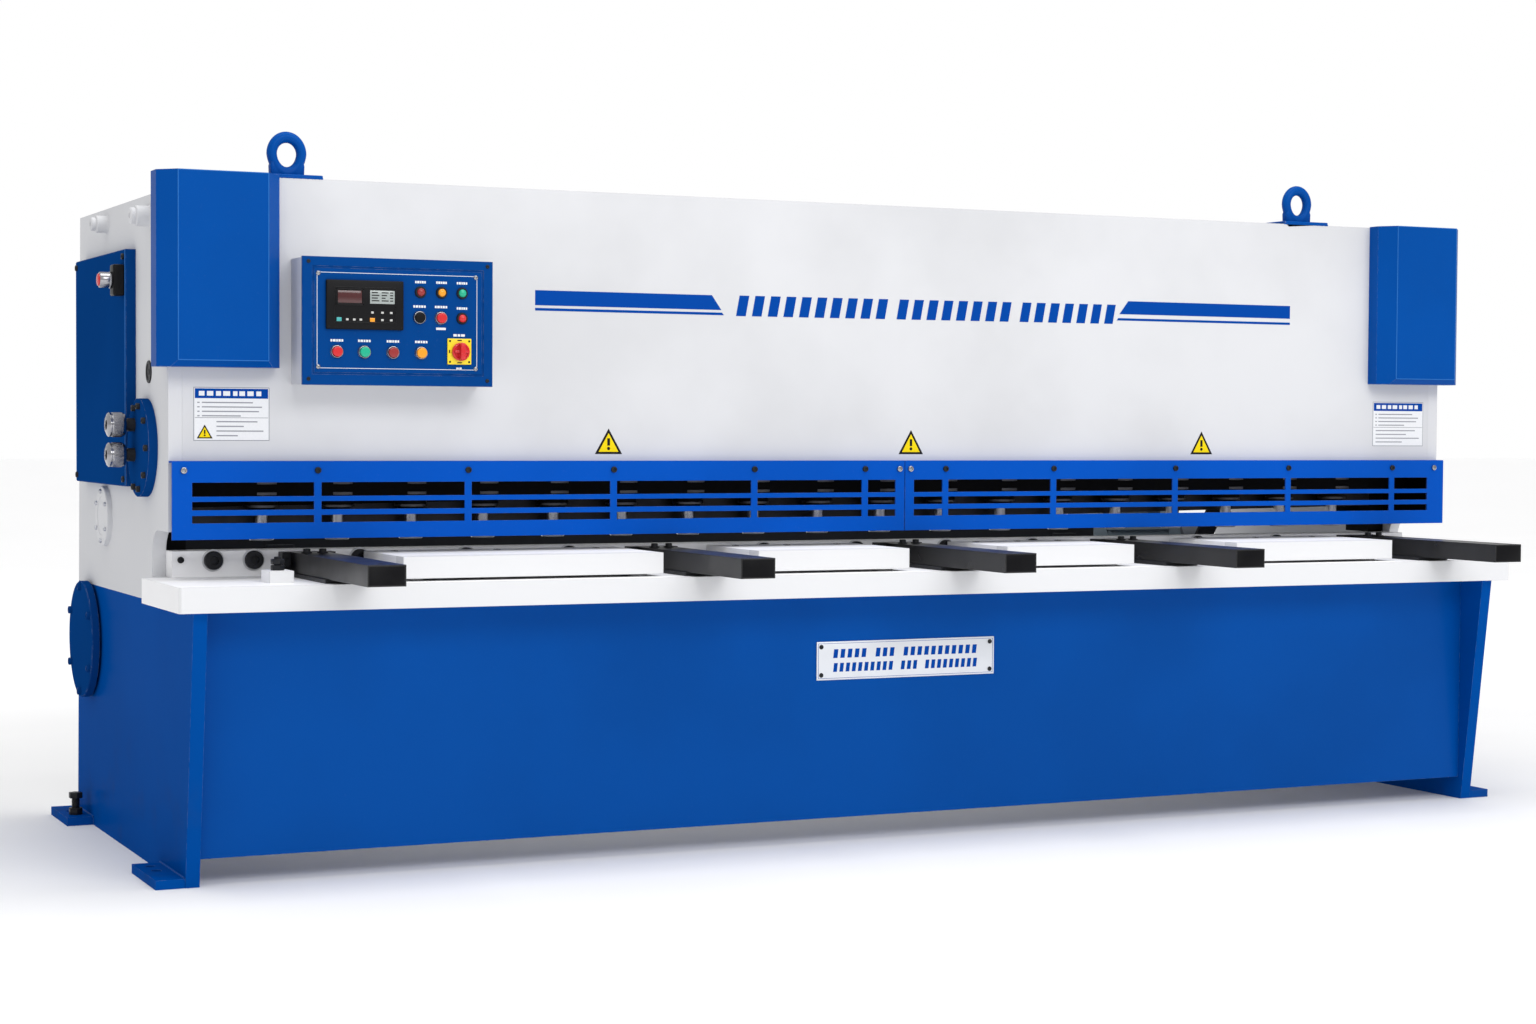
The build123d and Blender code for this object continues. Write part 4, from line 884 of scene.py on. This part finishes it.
def fascia_group():
    """The white line, its corner screws and the label bars over each control."""
    lines = Shape()
    x0, x1 = fascia_low[0] + 32 * MM, fascia_high[0] - 36 * MM
    z0, z1 = fascia_low[2] + 36 * MM, fascia_high[2] - 33 * MM
    thick = 1.1 * MM
    for x, z in border((x0, x1), (z0, z1), thick):
        panel_print(lines, x, z)
    for places, rise, half in ((solids("button_bezels"), 9 * MM, 14 * MM),
                               (solids("indicator_lamps"), 9 * MM, 12 * MM)):
        for low, high in places:
            x = (low[0] + high[0]) / 2
            z = high[2] + rise
            for start, end in ((-1.0, -0.72), (-0.62, -0.2), (-0.1, 0.16), (0.26, 0.62),
                               (0.72, 1.0)):
                panel_print(lines, (x + start * half, x + end * half), (z - 2.5 * MM, z + 2.5 * MM))
    low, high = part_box("switch_plate")
    x = (low[0] + high[0]) / 2
    for z, half in ((high[2] + 7 * MM, 13 * MM), (low[2] - 9 * MM, 6 * MM)):
        for start, end in ((-1.0, -0.4), (-0.25, 0.2), (0.35, 1.0)):
            panel_print(lines, (x + start * half, x + end * half), (z - 2.6 * MM, z + 2.6 * MM))
    low, high = min(solids("indicator_lamps"), key=lambda s: s[0][2])
    x = (low[0] + high[0]) / 2 - 48 * MM
    panel_print(lines, (x - 11 * MM, x + 11 * MM), (low[2] - 13 * MM, low[2] - 8 * MM))
    lines.make("fascia_printing", "frame", "machine_blue", "white_print")
    screws = Shape()
    flat_screws(screws, (x0 + 3 * MM, x1 - 3 * MM), (z0 + 3 * MM, z1 - 3 * MM), FACE,
                [(0, 5), (1.2, 4.8), (2.6, 3.4), (3.0, 1.8), (1.2, 1.4), (1.2, 0)])
    screws.make("fascia_screws", "frame", "bright_steel", "chrome")
    screws = Shape()
    flat_screws(screws, (fascia_low[0] + 14 * MM, fascia_high[0] - 12 * MM),
                (fascia_low[2] + 13 * MM, fascia_high[2] - 11 * MM), FACE,
                [(0, 4.4), (1.0, 4.2), (2.0, 3.2), (2.0, 1.7), (0.8, 1.4), (0.8, 0)])
    screws.make("box_screws", "frame", "black_steel", "oxide_black")


display_group()
fascia_group()


def main_switch_group():
    """A round red handle with a cross grip on its rounded yellow plate."""
    low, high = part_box("switch_plate")
    plate = Shape()
    plate.box((low[0], FACE - 4 * MM, low[2]), (high[0], FACE, high[2]), bevel=1.6 * MM, segments=3)
    plate.make("main_switch_plate", "frame", "yellow_plastic", "yellow_plastic",
               replaces=("switch_plate",))
    marks = Shape()
    middle = (Vector(low) + Vector(high)) / 2
    for u, v, half_u, half_v in ((0.0, 0.86, 5, 1.2), (-0.84, 0.0, 1.4, 3.4), (0.0, -0.86, 5, 1.2)):
        x = middle[0] + u * (high[0] - low[0]) / 2
        z = middle[2] + v * (high[2] - low[2]) / 2
        panel_print(marks, (x - half_u * MM, x + half_u * MM), (z - half_v * MM, z + half_v * MM),
                    face=FACE - 4 * MM)
    flat_screws(marks, [middle[0] + u * (high[0] - low[0]) / 2 for u in (-0.80, 0.80)],
                [middle[2] + v * (high[2] - low[2]) / 2 for v in (-0.80, 0.80)], FACE - 4 * MM,
                [(0, 2.4), (0.5, 2.3), (0.8, 1.6), (0.3, 1.2), (0.3, 0)], sides=20)
    marks.make("main_switch_marks", "frame", "yellow_plastic", "black_print")
    low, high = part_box("main_switch_knob")
    x, z = (low[0] + high[0]) / 2, (low[2] + high[2]) / 2
    radius = (high[0] - low[0]) / 2
    knob = Shape()
    base = FACE - 4.3 * MM
    knob.turned((x, base, z), (0, -1, 0),
                [(0, 8 * MM), (0, radius - 0.6 * MM), (1 * MM, radius), (6.4 * MM, radius),
                 (7.6 * MM, radius - 1.2 * MM), (8.2 * MM, radius - 3.4 * MM),
                 (7.0 * MM, radius - 5 * MM),
                 (7.0 * MM, 0)], sides=56)
    knob.box((x - 5.6 * MM, low[1], z - radius + 1.4 * MM),
             (x + 5.6 * MM, base - 5 * MM, z + radius - 1.4 * MM),
             bevel=2.2 * MM, segments=3)
    knob.box((x - radius + 4 * MM, low[1] + 9 * MM, z - 2.6 * MM),
             (x + radius - 4 * MM, base - 5 * MM, z + 2.6 * MM), bevel=1.2 * MM)
    knob.turned((x, base, z), (0, 1, 0),
                [(0, 8 * MM), (high[1] - base, 8 * MM), (high[1] - base, 0)],
                sides=32)
    knob.make("main_switch_handle", "main_switch", "red_plastic", "red_plastic",
              replaces=("main_switch_knob",))


main_switch_group()


# ---------------------------------------------------------------- side stop, bosses and plug
def side_stop_group():
    """A push button in a polished collar on a black moulded base."""
    low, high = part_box("side_stop_base")
    y, z = (low[1] + high[1]) / 2, (low[2] + high[2]) / 2
    base = Shape()
    base.box((high[0] - 25 * MM, low[1], low[2]), high, bevel=4 * MM, segments=3)
    base.turned((high[0] - 25 * MM, y, z), (-1, 0, 0),
                mm([(0, 17.5), (0, 19), (3, 19), (3, 15), (0, 15)]), sides=48)
    base.make("side_stop_housing", "frame", "black_plastic", "black_plastic",
              replaces=("side_stop_base",))
    collar = Shape()
    reach = high[0] - 28 * MM - low[0]
    collar.turned((high[0] - 28 * MM, y, z), (-1, 0, 0),
                  [(0, 14.3 * MM), (0, 18.6 * MM), (2 * MM, 18.8 * MM), (3 * MM, 17.6 * MM),
                   (reach - 2 * MM, 17.6 * MM), (reach - 0.5 * MM, 16.8 * MM), (reach, 15.6 * MM),
                   (reach - 0.4 * MM, 14.3 * MM), (0, 14.3 * MM)], sides=56)
    collar.make("side_stop_collar", "frame", "bright_steel", "chrome")
    low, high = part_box("side_stop_button")
    cap = Shape()
    length, radius = high[0] - low[0], (high[1] - low[1]) / 2
    cap.turned((high[0], y, z), (-1, 0, 0),
               [(0, 0), (0, radius), (length - 3 * MM, radius),
                (length - 1.4 * MM, radius - 0.8 * MM),
                (length - 0.5 * MM, radius - 3 * MM), (length, radius - 7 * MM), (length, 0)],
                sides=48)
    cap.make("side_stop_cap", "side_stop", "red_plastic", "red_plastic",
             replaces=("side_stop_button",))


PLUG_AT = (-264 * MM, 1082 * MM)     # y and z of the dark plug on the left side


def side_boss_group():
    """The painted pegs and round bearing cap on the left side, and a dark plug beside them."""
    shape = Shape()
    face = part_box("side_bosses")[1][0]
    for low, high in solids("side_bosses"):
        y, z, radius = round_solid(low, high, 0)
        length = face - low[0]
        if radius > 50 * MM:
            profile = [(0, radius), (length - 2 * MM, radius), (length, radius - 2 * MM),
                       (length, radius - 24 * MM), (length - 1.5 * MM, radius - 25 * MM),
                       (length - 1.5 * MM, 0)]
        else:
            step = length - 12 * MM
            profile = [(0, radius + 2.5 * MM), (3 * MM, radius + 0.6 * MM), (5 * MM, radius),
                       (step - 2 * MM, radius), (step, radius - 2 * MM), (step, radius - 4.6 * MM),
                       (length - 2.5 * MM, radius - 4.6 * MM), (length, radius - 7.4 * MM),
                       (length, 6 * MM), (length - 5 * MM, 5.4 * MM), (length - 5 * MM, 0)]
        shape.turned((face, y, z), (-1, 0, 0), profile, sides=64)
    shape.make("side_pegs_and_cap", "frame", "machine_white", "machine_white",
               replaces=("side_bosses",))
    plug = Shape()
    plug.turned((face, *PLUG_AT), (-1, 0, 0),
                mm([(0, 25), (2, 25), (3, 24), (3, 19), (1, 17), (1, 8), (2.5, 6), (2.5, 0)]),
                sides=40)
    plug.make("side_plug", "frame", "black_steel", "oxide_black")


side_stop_group()
side_boss_group()


# ---------------------------------------------------------------- printing on the panels
PANEL_FACE = panel_low[1]


def slanted_bar(shape, x, z, slant_left=0.0, slant_right=0.0, face=PANEL_FACE, proud=0.4 * MM):
    """A flat printed bar whose ends may lean, its corners in millimetres."""
    points = [(x[0], z[0]), (x[1], z[0]), (x[1] - slant_right, z[1]), (x[0] + slant_left, z[1])]
    shape.plate([(a * MM, face, b * MM) for a, b in points], (0, -proud, 0))


def stripe_group():
    """Blue stripes to left and right, and a row of slanted dashes in three groups between."""
    shape = Shape()
    slanted_bar(shape, (-871, -409), (1241, 1275), slant_right=24)
    slanted_bar(shape, (-871, -402), (1229, 1235), slant_right=5)
    slanted_bar(shape, (690, 1214), (1257, 1290), slant_left=26)
    slanted_bar(shape, (682, 1214), (1241, 1247), slant_left=5)
    pitch, dash, rise = 41.0, 25.0, 4.0 / 100
    x = -371.0
    for count in (10, 8, 7):
        for _ in range(count):
            low = 1228 + (x + 371) * rise * 0.1
            slanted_bar(shape, (x, x + dash), (low, low + 48), slant_left=9, slant_right=-9)
            x += pitch
        x += 16
    shape.make("panel_stripes", "frame", "machine_white", "blue_print")


def triangle(x, z, wide, tall, face, proud, shape):
    """An upright triangle with its base centred at x, z."""
    points = [(x - wide / 2, z), (x + wide / 2, z), (x, z + tall)]
    shape.plate([(a * MM, face, b * MM) for a, b in points], (0, -proud, 0))


def caution_marks():
    """Yellow triangles with black borders and a plain black bar and dot."""
    black, yellow, mark = Shape(), Shape(), Shape()
    face = PANEL_FACE
    places = [(-691, 905, 67), (97, 905, 67), (942, 905, 67), (-1622, 938, 34)]
    for x, z, wide in places:
        tall = wide * 0.87
        lift = 0.35 * MM if wide > 50 else 0.8 * MM
        triangle(x, z, wide, tall, face, lift, black)
        inset = wide * 0.075
        triangle(x, z + inset, wide - inset * 3.6, tall - inset * 3.05, face, lift + 0.15 * MM,
                 yellow)
        bar = wide * 0.05
        mark.box(((x - bar) * MM, face - lift - 0.3 * MM, (z + tall * 0.33) * MM),
                 ((x + bar) * MM, face, (z + tall * 0.62) * MM))
        mark.rod((x * MM, face, (z + tall * 0.22) * MM),
                 (x * MM, face - lift - 0.3 * MM, (z + tall * 0.22) * MM), bar * 1.15 * MM,
                 sides=20)
    black.make("caution_borders", "frame", "machine_white", "black_print")
    yellow.make("caution_fields", "frame", "machine_white", "yellow_print")
    mark.make("caution_bars", "frame", "machine_white", "black_print")


def notice_plates():
    """Two white notices with a blue header and grey rules in place of words."""
    sheet, header, rules, pale = Shape(), Shape(), Shape(), Shape()
    for x0, x1, z0, z1, rows in ((-1646, -1481, 933, 1048, 2), (1486, 1653, 927, 1044, 3)):
        edge = 1.6
        slanted_bar(rules, (x0, x1), (z0, z1), proud=0.25 * MM)
        slanted_bar(sheet, (x0 + edge, x1 - edge), (z0 + edge, z1 - edge), proud=0.45 * MM)
        slanted_bar(header, (x0 + 3, x1 - 3), (z1 - 24, z1 - 3), proud=0.65 * MM)
        slanted_bar(rules, (x0 + 3, x1 - 3), (z0 + 49, z0 + 50.2), proud=0.65 * MM)
        wide = x1 - x0
        at = x0 + wide * 0.07
        for share in (0.09, 0.10, 0.08, 0.11, 0.07, 0.09, 0.10, 0.08):
            slanted_bar(pale, (at, at + wide * share * 0.82), (z1 - 18.5, z1 - 8.5),
                        proud=0.85 * MM)
            at += wide * share * 1.18
        for row in range(4):
            z = z1 - 33 - row * 9.5
            for start, end in ((0.05, 0.08), (0.11, (0.78, 0.90, 0.86, 0.62)[row])):
                slanted_bar(rules, (x0 + wide * start, x0 + wide * end), (z - 1.3, z + 1.3),
                            proud=0.65 * MM)
        for row in range(4):
            z = z0 + 41 - row * 10
            start = 0.30 if rows == 2 else 0.06
            slanted_bar(rules, (x0 + wide * start, x0 + wide * (0.84, 0.66, 0.92, 0.58)[row]),
                        (z - 1.3, z + 1.3), proud=0.65 * MM)
    sheet.make("notice_sheets", "frame", "machine_white", "white_print")
    header.make("notice_headers", "frame", "machine_white", "blue_print")
    rules.make("notice_rules", "frame", "machine_white", "grey_print")
    pale.make("notice_header_bars", "frame", "machine_white", "white_print")


def name_plate_group():
    """A brushed plate with a rolled edge, screws and two rows of blue blocks."""
    low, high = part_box("name_plate")
    back = high[1]
    plate = Shape()
    plate.box((low[0], back - 3 * MM, low[2]), (high[0], back, high[2]), bevel=1.0 * MM, segments=3)
    plate.make("maker_plate", "frame", "bright_steel", "plate_silver", replaces=("name_plate",))
    lines, screws = Shape(), Shape()
    face = back - 3 * MM
    wide, tall = (high[0] - low[0]) / MM, (high[2] - low[2]) / MM
    x0, z0 = low[0] / MM, low[2] / MM
    for row, words in ((0.57, (5, 3, 11)), (0.21, (10, 3, 9))):
        letters = sum(words) + len(words) - 1
        pitch = wide * 0.82 / letters
        x = x0 + wide * 0.09
        for word in words:
            for _ in range(word):
                slanted_bar(lines, (x, x + pitch * 0.60),
                            (z0 + tall * row, z0 + tall * (row + 0.23)),
                            face=face, slant_left=2.5, slant_right=-2.5, proud=0.3 * MM)
                x += pitch
            x += pitch
    for x, z in border((x0 + 4, x0 + wide - 4), (z0 + 4, z0 + tall - 4), 0.8):
        slanted_bar(lines, x, z, face=face, proud=0.3 * MM)
    flat_screws(screws, (low[0] + 12 * MM, high[0] - 12 * MM),
                (low[2] + 12 * MM, high[2] - 12 * MM),
                face, [(0, 5.5), (0.8, 5.4), (2.0, 3.6), (2.2, 1.8), (0.9, 1.5), (0.9, 0)],
                sides=28)
    lines.make("maker_plate_marks", "frame", "bright_steel", "blue_print")
    screws.make("maker_plate_screws", "frame", "black_steel", "oxide_black")


stripe_group()
caution_marks()
notice_plates()
name_plate_group()


# ---------------------------------------------------------------- hold-downs
def hold_down_group():
    """Cylinders with gland nuts and banded springs, and steel feet that press the sheet."""
    cans, bands, feet = Shape(), Shape(), Shape()
    for low, high in solids("hold_down_cylinders"):
        x, y, radius = round_solid(low, high, 2)
        length = high[2] - low[2]
        cans.turned((x, y, low[2]), (0, 0, 1),
                    [(0, 15 * MM), (0, radius - 8 * MM), (2 * MM, radius - 6 * MM),
                     (14 * MM, radius - 6 * MM), (14 * MM, radius - 1 * MM), (16 * MM, radius),
                     (length - 6 * MM, radius), (length, radius - 6 * MM), (length, 15 * MM),
                     (length - 30 * MM, 14 * MM)], sides=40)
        bands.turned((x, y, low[2] + 15 * MM), (0, 0, 1),
                     [(0, radius - 2 * MM), (0, radius + 1.2 * MM), (5 * MM, radius + 1.2 * MM),
                      (6 * MM, radius - 2 * MM)], sides=40)
        for z in (low[2] + 42 * MM, low[2] + 66 * MM):
            bands.turned((x, y, z), (0, 0, 1),
                         mm([(0, 46), (1, 52), (7, 52), (8, 46)]),
                         sides=48)
    cans.make("hold_down_bodies", "frame", "black_steel", "shadow_black",
              replaces=("hold_down_cylinders",))
    bands.make("hold_down_bands", "frame", "bright_steel", "band_steel")
    for low, high in solids("hold_down_feet"):
        x, y, radius = round_solid(low, high, 2)
        feet.turned((x, y, low[2]), (0, 0, 1),
                    [(0, 0), (0, radius - 3 * MM), (3 * MM, radius), (16 * MM, radius),
                     (18 * MM, radius - 2 * MM), (20 * MM, radius), (27 * MM, radius),
                     (30 * MM, radius - 4 * MM), (30 * MM, 18 * MM), (36 * MM, 18 * MM),
                     (38 * MM, 14 * MM), (high[2] - low[2], 14 * MM), (high[2] - low[2], 0)],
                     sides=40)
    feet.make("hold_down_pads", "hold_downs", "bright_steel", "turned_steel",
              replaces=("hold_down_feet",))


hold_down_group()


# ---------------------------------------------------------------- table details
BALL_ROW_Y = -400 * MM       # the holes that the balls sit in


def ball_transfer_group():
    """Steel balls in raised collars on the table blocks, where the sheet slides."""
    collars, balls = Shape(), Shape()
    for low, high in solids("table_blocks"):
        if high[0] - low[0] < 0.2:
            continue
        for x in (low[0] + 60 * MM, (low[0] + high[0]) / 2, high[0] - 60 * MM):
            at = Vector((x, BALL_ROW_Y, high[2]))
            collars.turned(at, (0, 0, 1),
                           mm([(-11, 0), (-11, 8.8), (0.2, 8.8), (0.6, 8.2), (0.2, 6.4),
                               (-2, 6.0)]), sides=32)
            made = bmesh.ops.create_uvsphere(balls.mesh, u_segments=24, v_segments=16,
                                             radius=6.0 * MM)["verts"]
            bmesh.ops.translate(balls.mesh, vec=at - Vector((0, 0, 4.6 * MM)), verts=made)
    collars.make("ball_collars", "frame", "black_steel", "oxide_black")
    balls.make("transfer_balls", "frame", "bright_steel", "chrome")


def arm_group():
    """End caps and clamp bolts on the support arms."""
    caps, bolts = Shape(), Shape()
    for low, high in solids("support_arms"):
        caps.box((low[0] + 3 * MM, low[1] - 0.6 * MM, low[2] + 3 * MM),
                 (high[0] - 3 * MM, low[1] + 4 * MM, high[2] - 3 * MM), bevel=0.5 * MM)
        x = (low[0] + high[0]) / 2
        for side in (-1, 1):
            at = Vector((x + side * 18 * MM, high[1] - 45 * MM, high[2]))
            bolts.turned(at, (0, 0, 1), mm([(-1, 12), (1.8, 12), (2, 11.4), (2, 8)]), sides=32)
            socket_screw(bolts, at + Vector((0, 0, 1.5 * MM)), (0, 0, 1), 8 * MM, 8 * MM,
                         across=0.5)
    caps.make("arm_end_caps", "frame", "black_steel", "cap_black")
    bolts.make("arm_clamp_bolts", "frame", "black_steel", "oxide_black")


def levelling_group():
    """Threaded jack bolts with hexagon heads, lock nuts and round washers."""
    shape = Shape()
    for low, high in solids("levelling_bolts"):
        x, y = (low[0] + high[0]) / 2, (low[1] + high[1]) / 2
        thread = [(0, 0), (0, 8.6 * MM)]
        step, start, end = 3.0 * MM, 2 * MM, high[2] - low[2] - 16 * MM
        at = start
        while at < end:
            thread += [(at, 9.8 * MM), (at + step * 0.5, 8.7 * MM)]
            at += step
        thread += [(end + 4 * MM, 9.6 * MM), (end + 4 * MM, 0)]
        shape.turned((x, y, low[2]), (0, 0, 1), thread, sides=24)
        for base, tall, radius in ((20 * MM, 14 * MM, 17.0 * MM), (60 * MM, 14 * MM, 17.0 * MM)):
            shape.rod((x, y, low[2] + base), (x, y, low[2] + base + tall), radius,
                      bevel=1.4 * MM, sides=6)
        shape.turned((x, y, low[2] + 34 * MM), (0, 0, 1),
                     mm([(0, 10), (0, 16), (2.5, 16), (2.5, 10)]), sides=32)
    shape.make("levelling_screws", "frame", "black_steel", "oxide_black",
               replaces=("levelling_bolts",))


ball_transfer_group()
arm_group()
levelling_group()


# ---------------------------------------------------------------- weld beads
def bead(shape, start, end, radius=3.6 * MM, step=5.0 * MM):
    """A row of overlapping ripples laid along a corner."""
    start, end = Vector(start), Vector(end)
    along = end - start
    count = max(2, int(along.length / step))
    profile = []
    for i in range(count):
        at = along.length * i / count
        profile += [(at, radius * 0.78),
                    (at + step * 0.5, radius * (1.0 + 0.12 * math.sin(i * 2.3)))]
    profile = [(0, 0)] + profile + [(along.length, radius * 0.7), (along.length, 0)]
    shape.turned(start, along, profile, sides=10)


def weld_group():
    """Fillet welds where the feet, rear tubes and lower panel meet the side plates."""
    blue, grey = Shape(), Shape()
    for side in (-1, 1):
        outer = side * OUTER_X
        inner = outer - side * 30 * MM
        for y0, y1 in ((-0.596, -0.365), (0.358, 0.565)):
            y0, y1 = max(y0, -0.59), min(y1, 0.54)
            bead(blue, (outer, y0, 20 * MM), (outer, y1, 20 * MM))
        lower_low, lower_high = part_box("lower_front_panel")
        bead(blue, (inner, lower_high[1] - 66 * MM, lower_low[2] + 15 * MM),
             (inner, lower_high[1] - 66 * MM, lower_high[2] - 5 * MM))
        for pair in solids("rear_beams"):
            a, b = pair
            reach = inner - side * 1 * MM
            for y in (a[1], b[1]):
                bead(grey, (reach, y, a[2]), (reach, y, b[2]), radius=4 * MM)
            for z in (a[2], b[2]):
                bead(grey, (reach, a[1], z), (reach, b[1], z), radius=4 * MM)
    for low, high in solids("lifting_eyes"):
        bead(blue, (low[0], low[1] + 1 * MM, low[2] + 1 * MM),
             (high[0], low[1] + 1 * MM, low[2] + 1 * MM),
             radius=2.6 * MM)
        bead(blue, (low[0], high[1], low[2] + 1 * MM), (high[0], high[1], low[2] + 1 * MM),
             radius=3 * MM)
    blue.make("blue_weld_beads", "frame", "machine_blue", "machine_blue", angle=60)
    grey.make("grey_weld_beads", "frame", "frame_grey", "frame_grey", angle=60)


weld_group()


# ---------------------------------------------------------------- motor and drive details
def motor_group():
    """A fan cover with black discs painted in place of its openings as painted shade, a terminal box with its
    gland, and foot bolts.
    """
    low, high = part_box("motor")
    axis_low, axis_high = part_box("motor_pulley")
    y, z = (axis_low[1] + axis_high[1]) / 2, (axis_low[2] + axis_high[2]) / 2
    radius = 99 * MM
    cover = Shape()
    end = low[0]
    cover.turned((end + 42 * MM, y, z), (-1, 0, 0),
                 [(0, radius - 2 * MM), (0, radius + 1 * MM), (34 * MM, radius + 1 * MM),
                  (40 * MM, radius - 4 * MM), (41.5 * MM, radius - 12 * MM), (41.5 * MM, 0)],
                  sides=64)
    for side in (0, 1):
        x = high[0] - 42 * MM if side else end + 44 * MM
        cover.turned((x, y, z), (1, 0, 0),
                     [(0, radius - 8 * MM), (0, radius + 2 * MM), (10 * MM, radius + 2 * MM),
                      (12 * MM, radius - 6 * MM)], sides=64)
    cover.make("motor_end_covers", "frame", "frame_grey", "cast_grey")
    # black discs stand for the fan cover's openings: painted shade
    slots = Shape()
    for ring, count in ((30, 8), (52, 14), (74, 20)):
        for i in range(count):
            angle = math.tau * i / count
            at = Vector((end + 1.2 * MM, y + ring * MM * math.cos(angle),
                         z + ring * MM * math.sin(angle)))
            slots.rod(at, at - Vector((1.6 * MM, 0, 0)), 5 * MM, sides=16)
    slots.make("fan_cover_holes", "frame", "frame_grey", "hole_shade_black")
    lid = Shape()
    top = high[2]
    lid.box((low[0] + 86 * MM, y - 64 * MM, top - 8 * MM),
            (low[0] + 204 * MM, y + 64 * MM, top + 2 * MM),
            bevel=3 * MM, segments=3)
    lid.turned((low[0] + 145 * MM, y + 60 * MM, top - 30 * MM), (0, 1, 0),
               mm([(0, 14), (3, 14), (4, 12), (16, 12), (20, 9), (22, 7), (18, 5), (18, 0)]),
               sides=24)
    lid.make("terminal_box_lid", "frame", "frame_grey", "cast_grey")
    bolts = Shape()
    for x in (low[0] + 66 * MM, high[0] - 66 * MM):
        for side in (-1, 1):
            at = Vector((x, y + side * 82 * MM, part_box("motor")[0][2] + 30 * MM))
            bolts.rod(at, at + Vector((0, 0, 8 * MM)), 8 * MM, bevel=1 * MM, sides=6)
    for dx in (92, 198):
        for dy in (-56, 56):
            at = Vector((low[0] + dx * MM, y + dy * MM, top + 2 * MM))
            socket_screw(bolts, at, (0, 0, 1), 4 * MM, 3 * MM)
    bolts.make("motor_bolts", "frame", "black_steel", "oxide_black")


def drive_group():
    """Bearing covers and their screws on the bearing housings."""
    covers, screws = Shape(), Shape()
    for low, high in solids("bearing_housings"):
        if high[1] - low[1] > 0.2:
            continue
        y, z, radius = round_solid(low, high, 0)
        inner_side = -1 if high[0] > 0 else 1
        x = low[0] if inner_side < 0 else high[0]
        shaft = 46 * MM if radius > 70 * MM else 26 * MM
        covers.turned((x, y, z), (inner_side, 0, 0),
                      [(-2 * MM, radius - 3 * MM), (3 * MM, radius - 3 * MM),
                       (5 * MM, radius - 5 * MM),
                       (5 * MM, shaft + 6 * MM), (3 * MM, shaft + 4 * MM),
                       (3 * MM, shaft + 0.5 * MM),
                       (-2 * MM, shaft + 0.5 * MM)], sides=56)
        for i in range(6):
            angle = math.tau * (i + 0.5) / 6
            at = Vector((x + inner_side * 5 * MM, y + (radius - 12 * MM) * math.cos(angle),
                         z + (radius - 12 * MM) * math.sin(angle)))
            socket_screw(screws, at, (inner_side, 0, 0), 6 * MM, 5 * MM)
    covers.make("bearing_covers", "frame", "frame_grey", "frame_grey")
    screws.make("bearing_cover_screws", "frame", "black_steel", "oxide_black")


motor_group()
drive_group()


# ---------------------------------------------------------------- floor and lights
def floor_finish():
    """A white studio floor that glows more strongly away from the machine: a painted glow that keeps it white far
    off while the shadow near the machine stays dark.
    """
    p = Paint("studio_floor")
    soft = p.noise(0.8, 3.0)
    far = p.node("VectorMath", {"operation": "LENGTH"}, out="Value",
                 i0=p.node("Mapping", Vector=p.place, Scale=(1.0, 1.5, 1.0)))
    p.set(Base_Color=p.mix(soft.band(0.3, 0.7), rgb(0.93, 0.93, 0.935), rgb(0.90, 0.90, 0.905)),
          Roughness=0.7 + (soft - 0.5) * 0.1, Specular_IOR_Level=0.1,
          Emission_Color=p.mix(far.band(2.6, 7.0), rgb(0.04, 0.04, 0.04), rgb(1.0, 1.0, 1.0)),
          Emission_Strength=0.36)
    return p.material


def make_floor():
    reach = 60.0
    mesh = bpy.data.meshes.new("studio_floor")
    mesh.from_pydata([(-reach, -reach, 0), (reach, -reach, 0), (reach, reach, 0),
                      (-reach, reach, 0)],
                     [], [(0, 1, 2, 3)])
    mesh.materials.append(floor_finish())
    floor = bpy.data.objects.new("studio_floor", mesh)
    bpy.context.scene.collection.objects.link(floor)


def soft_light(name, at, target, size, watts, colour=(1.0, 1.0, 1.0)):
    """A rectangular soft box that faces a point."""
    data = bpy.data.lights.new(name, "AREA")
    data.shape = "RECTANGLE"
    data.size, data.size_y = size
    data.energy = watts
    data.color = colour
    light = bpy.data.objects.new(name, data)
    bpy.context.scene.collection.objects.link(light)
    ahead = Vector(target) - Vector(at)
    turn = ahead.to_track_quat("-Z", "Y").to_matrix().to_4x4()
    light.matrix_world = Matrix.Translation(at) @ turn


AROUND = 0.66      # strength of the white light from all sides


def make_world():
    """Soft white light from all sides, with an even white seen behind the machine."""
    world = bpy.data.worlds.new("studio")
    world.use_nodes = True
    tree = world.node_tree
    around = tree.nodes["Background"]
    around.inputs["Color"].default_value = rgb(1.0, 1.0, 1.0)
    around.inputs["Strength"].default_value = AROUND
    behind = tree.nodes.new("ShaderNodeBackground")
    behind.inputs["Color"].default_value = rgb(1.0, 1.0, 1.0)
    behind.inputs["Strength"].default_value = 1.0
    path = tree.nodes.new("ShaderNodeLightPath")
    chosen = tree.nodes.new("ShaderNodeMixShader")
    tree.links.new(path.outputs["Is Camera Ray"], chosen.inputs[0])
    tree.links.new(around.outputs[0], chosen.inputs[1])
    tree.links.new(behind.outputs[0], chosen.inputs[2])
    tree.links.new(chosen.outputs[0], tree.nodes["World Output"].inputs["Surface"])
    bpy.context.scene.world = world
    bpy.context.scene.view_settings.view_transform = "Standard"


make_floor()
make_world()
soft_light("key_light", (0.8, -8.5, 5.6), (0.0, -0.4, 0.9), (8.0, 3.5), 330)
soft_light("top_light", (0.0, -0.9, 6.0), (0.0, -0.4, 1.0), (7.0, 3.0), 190)
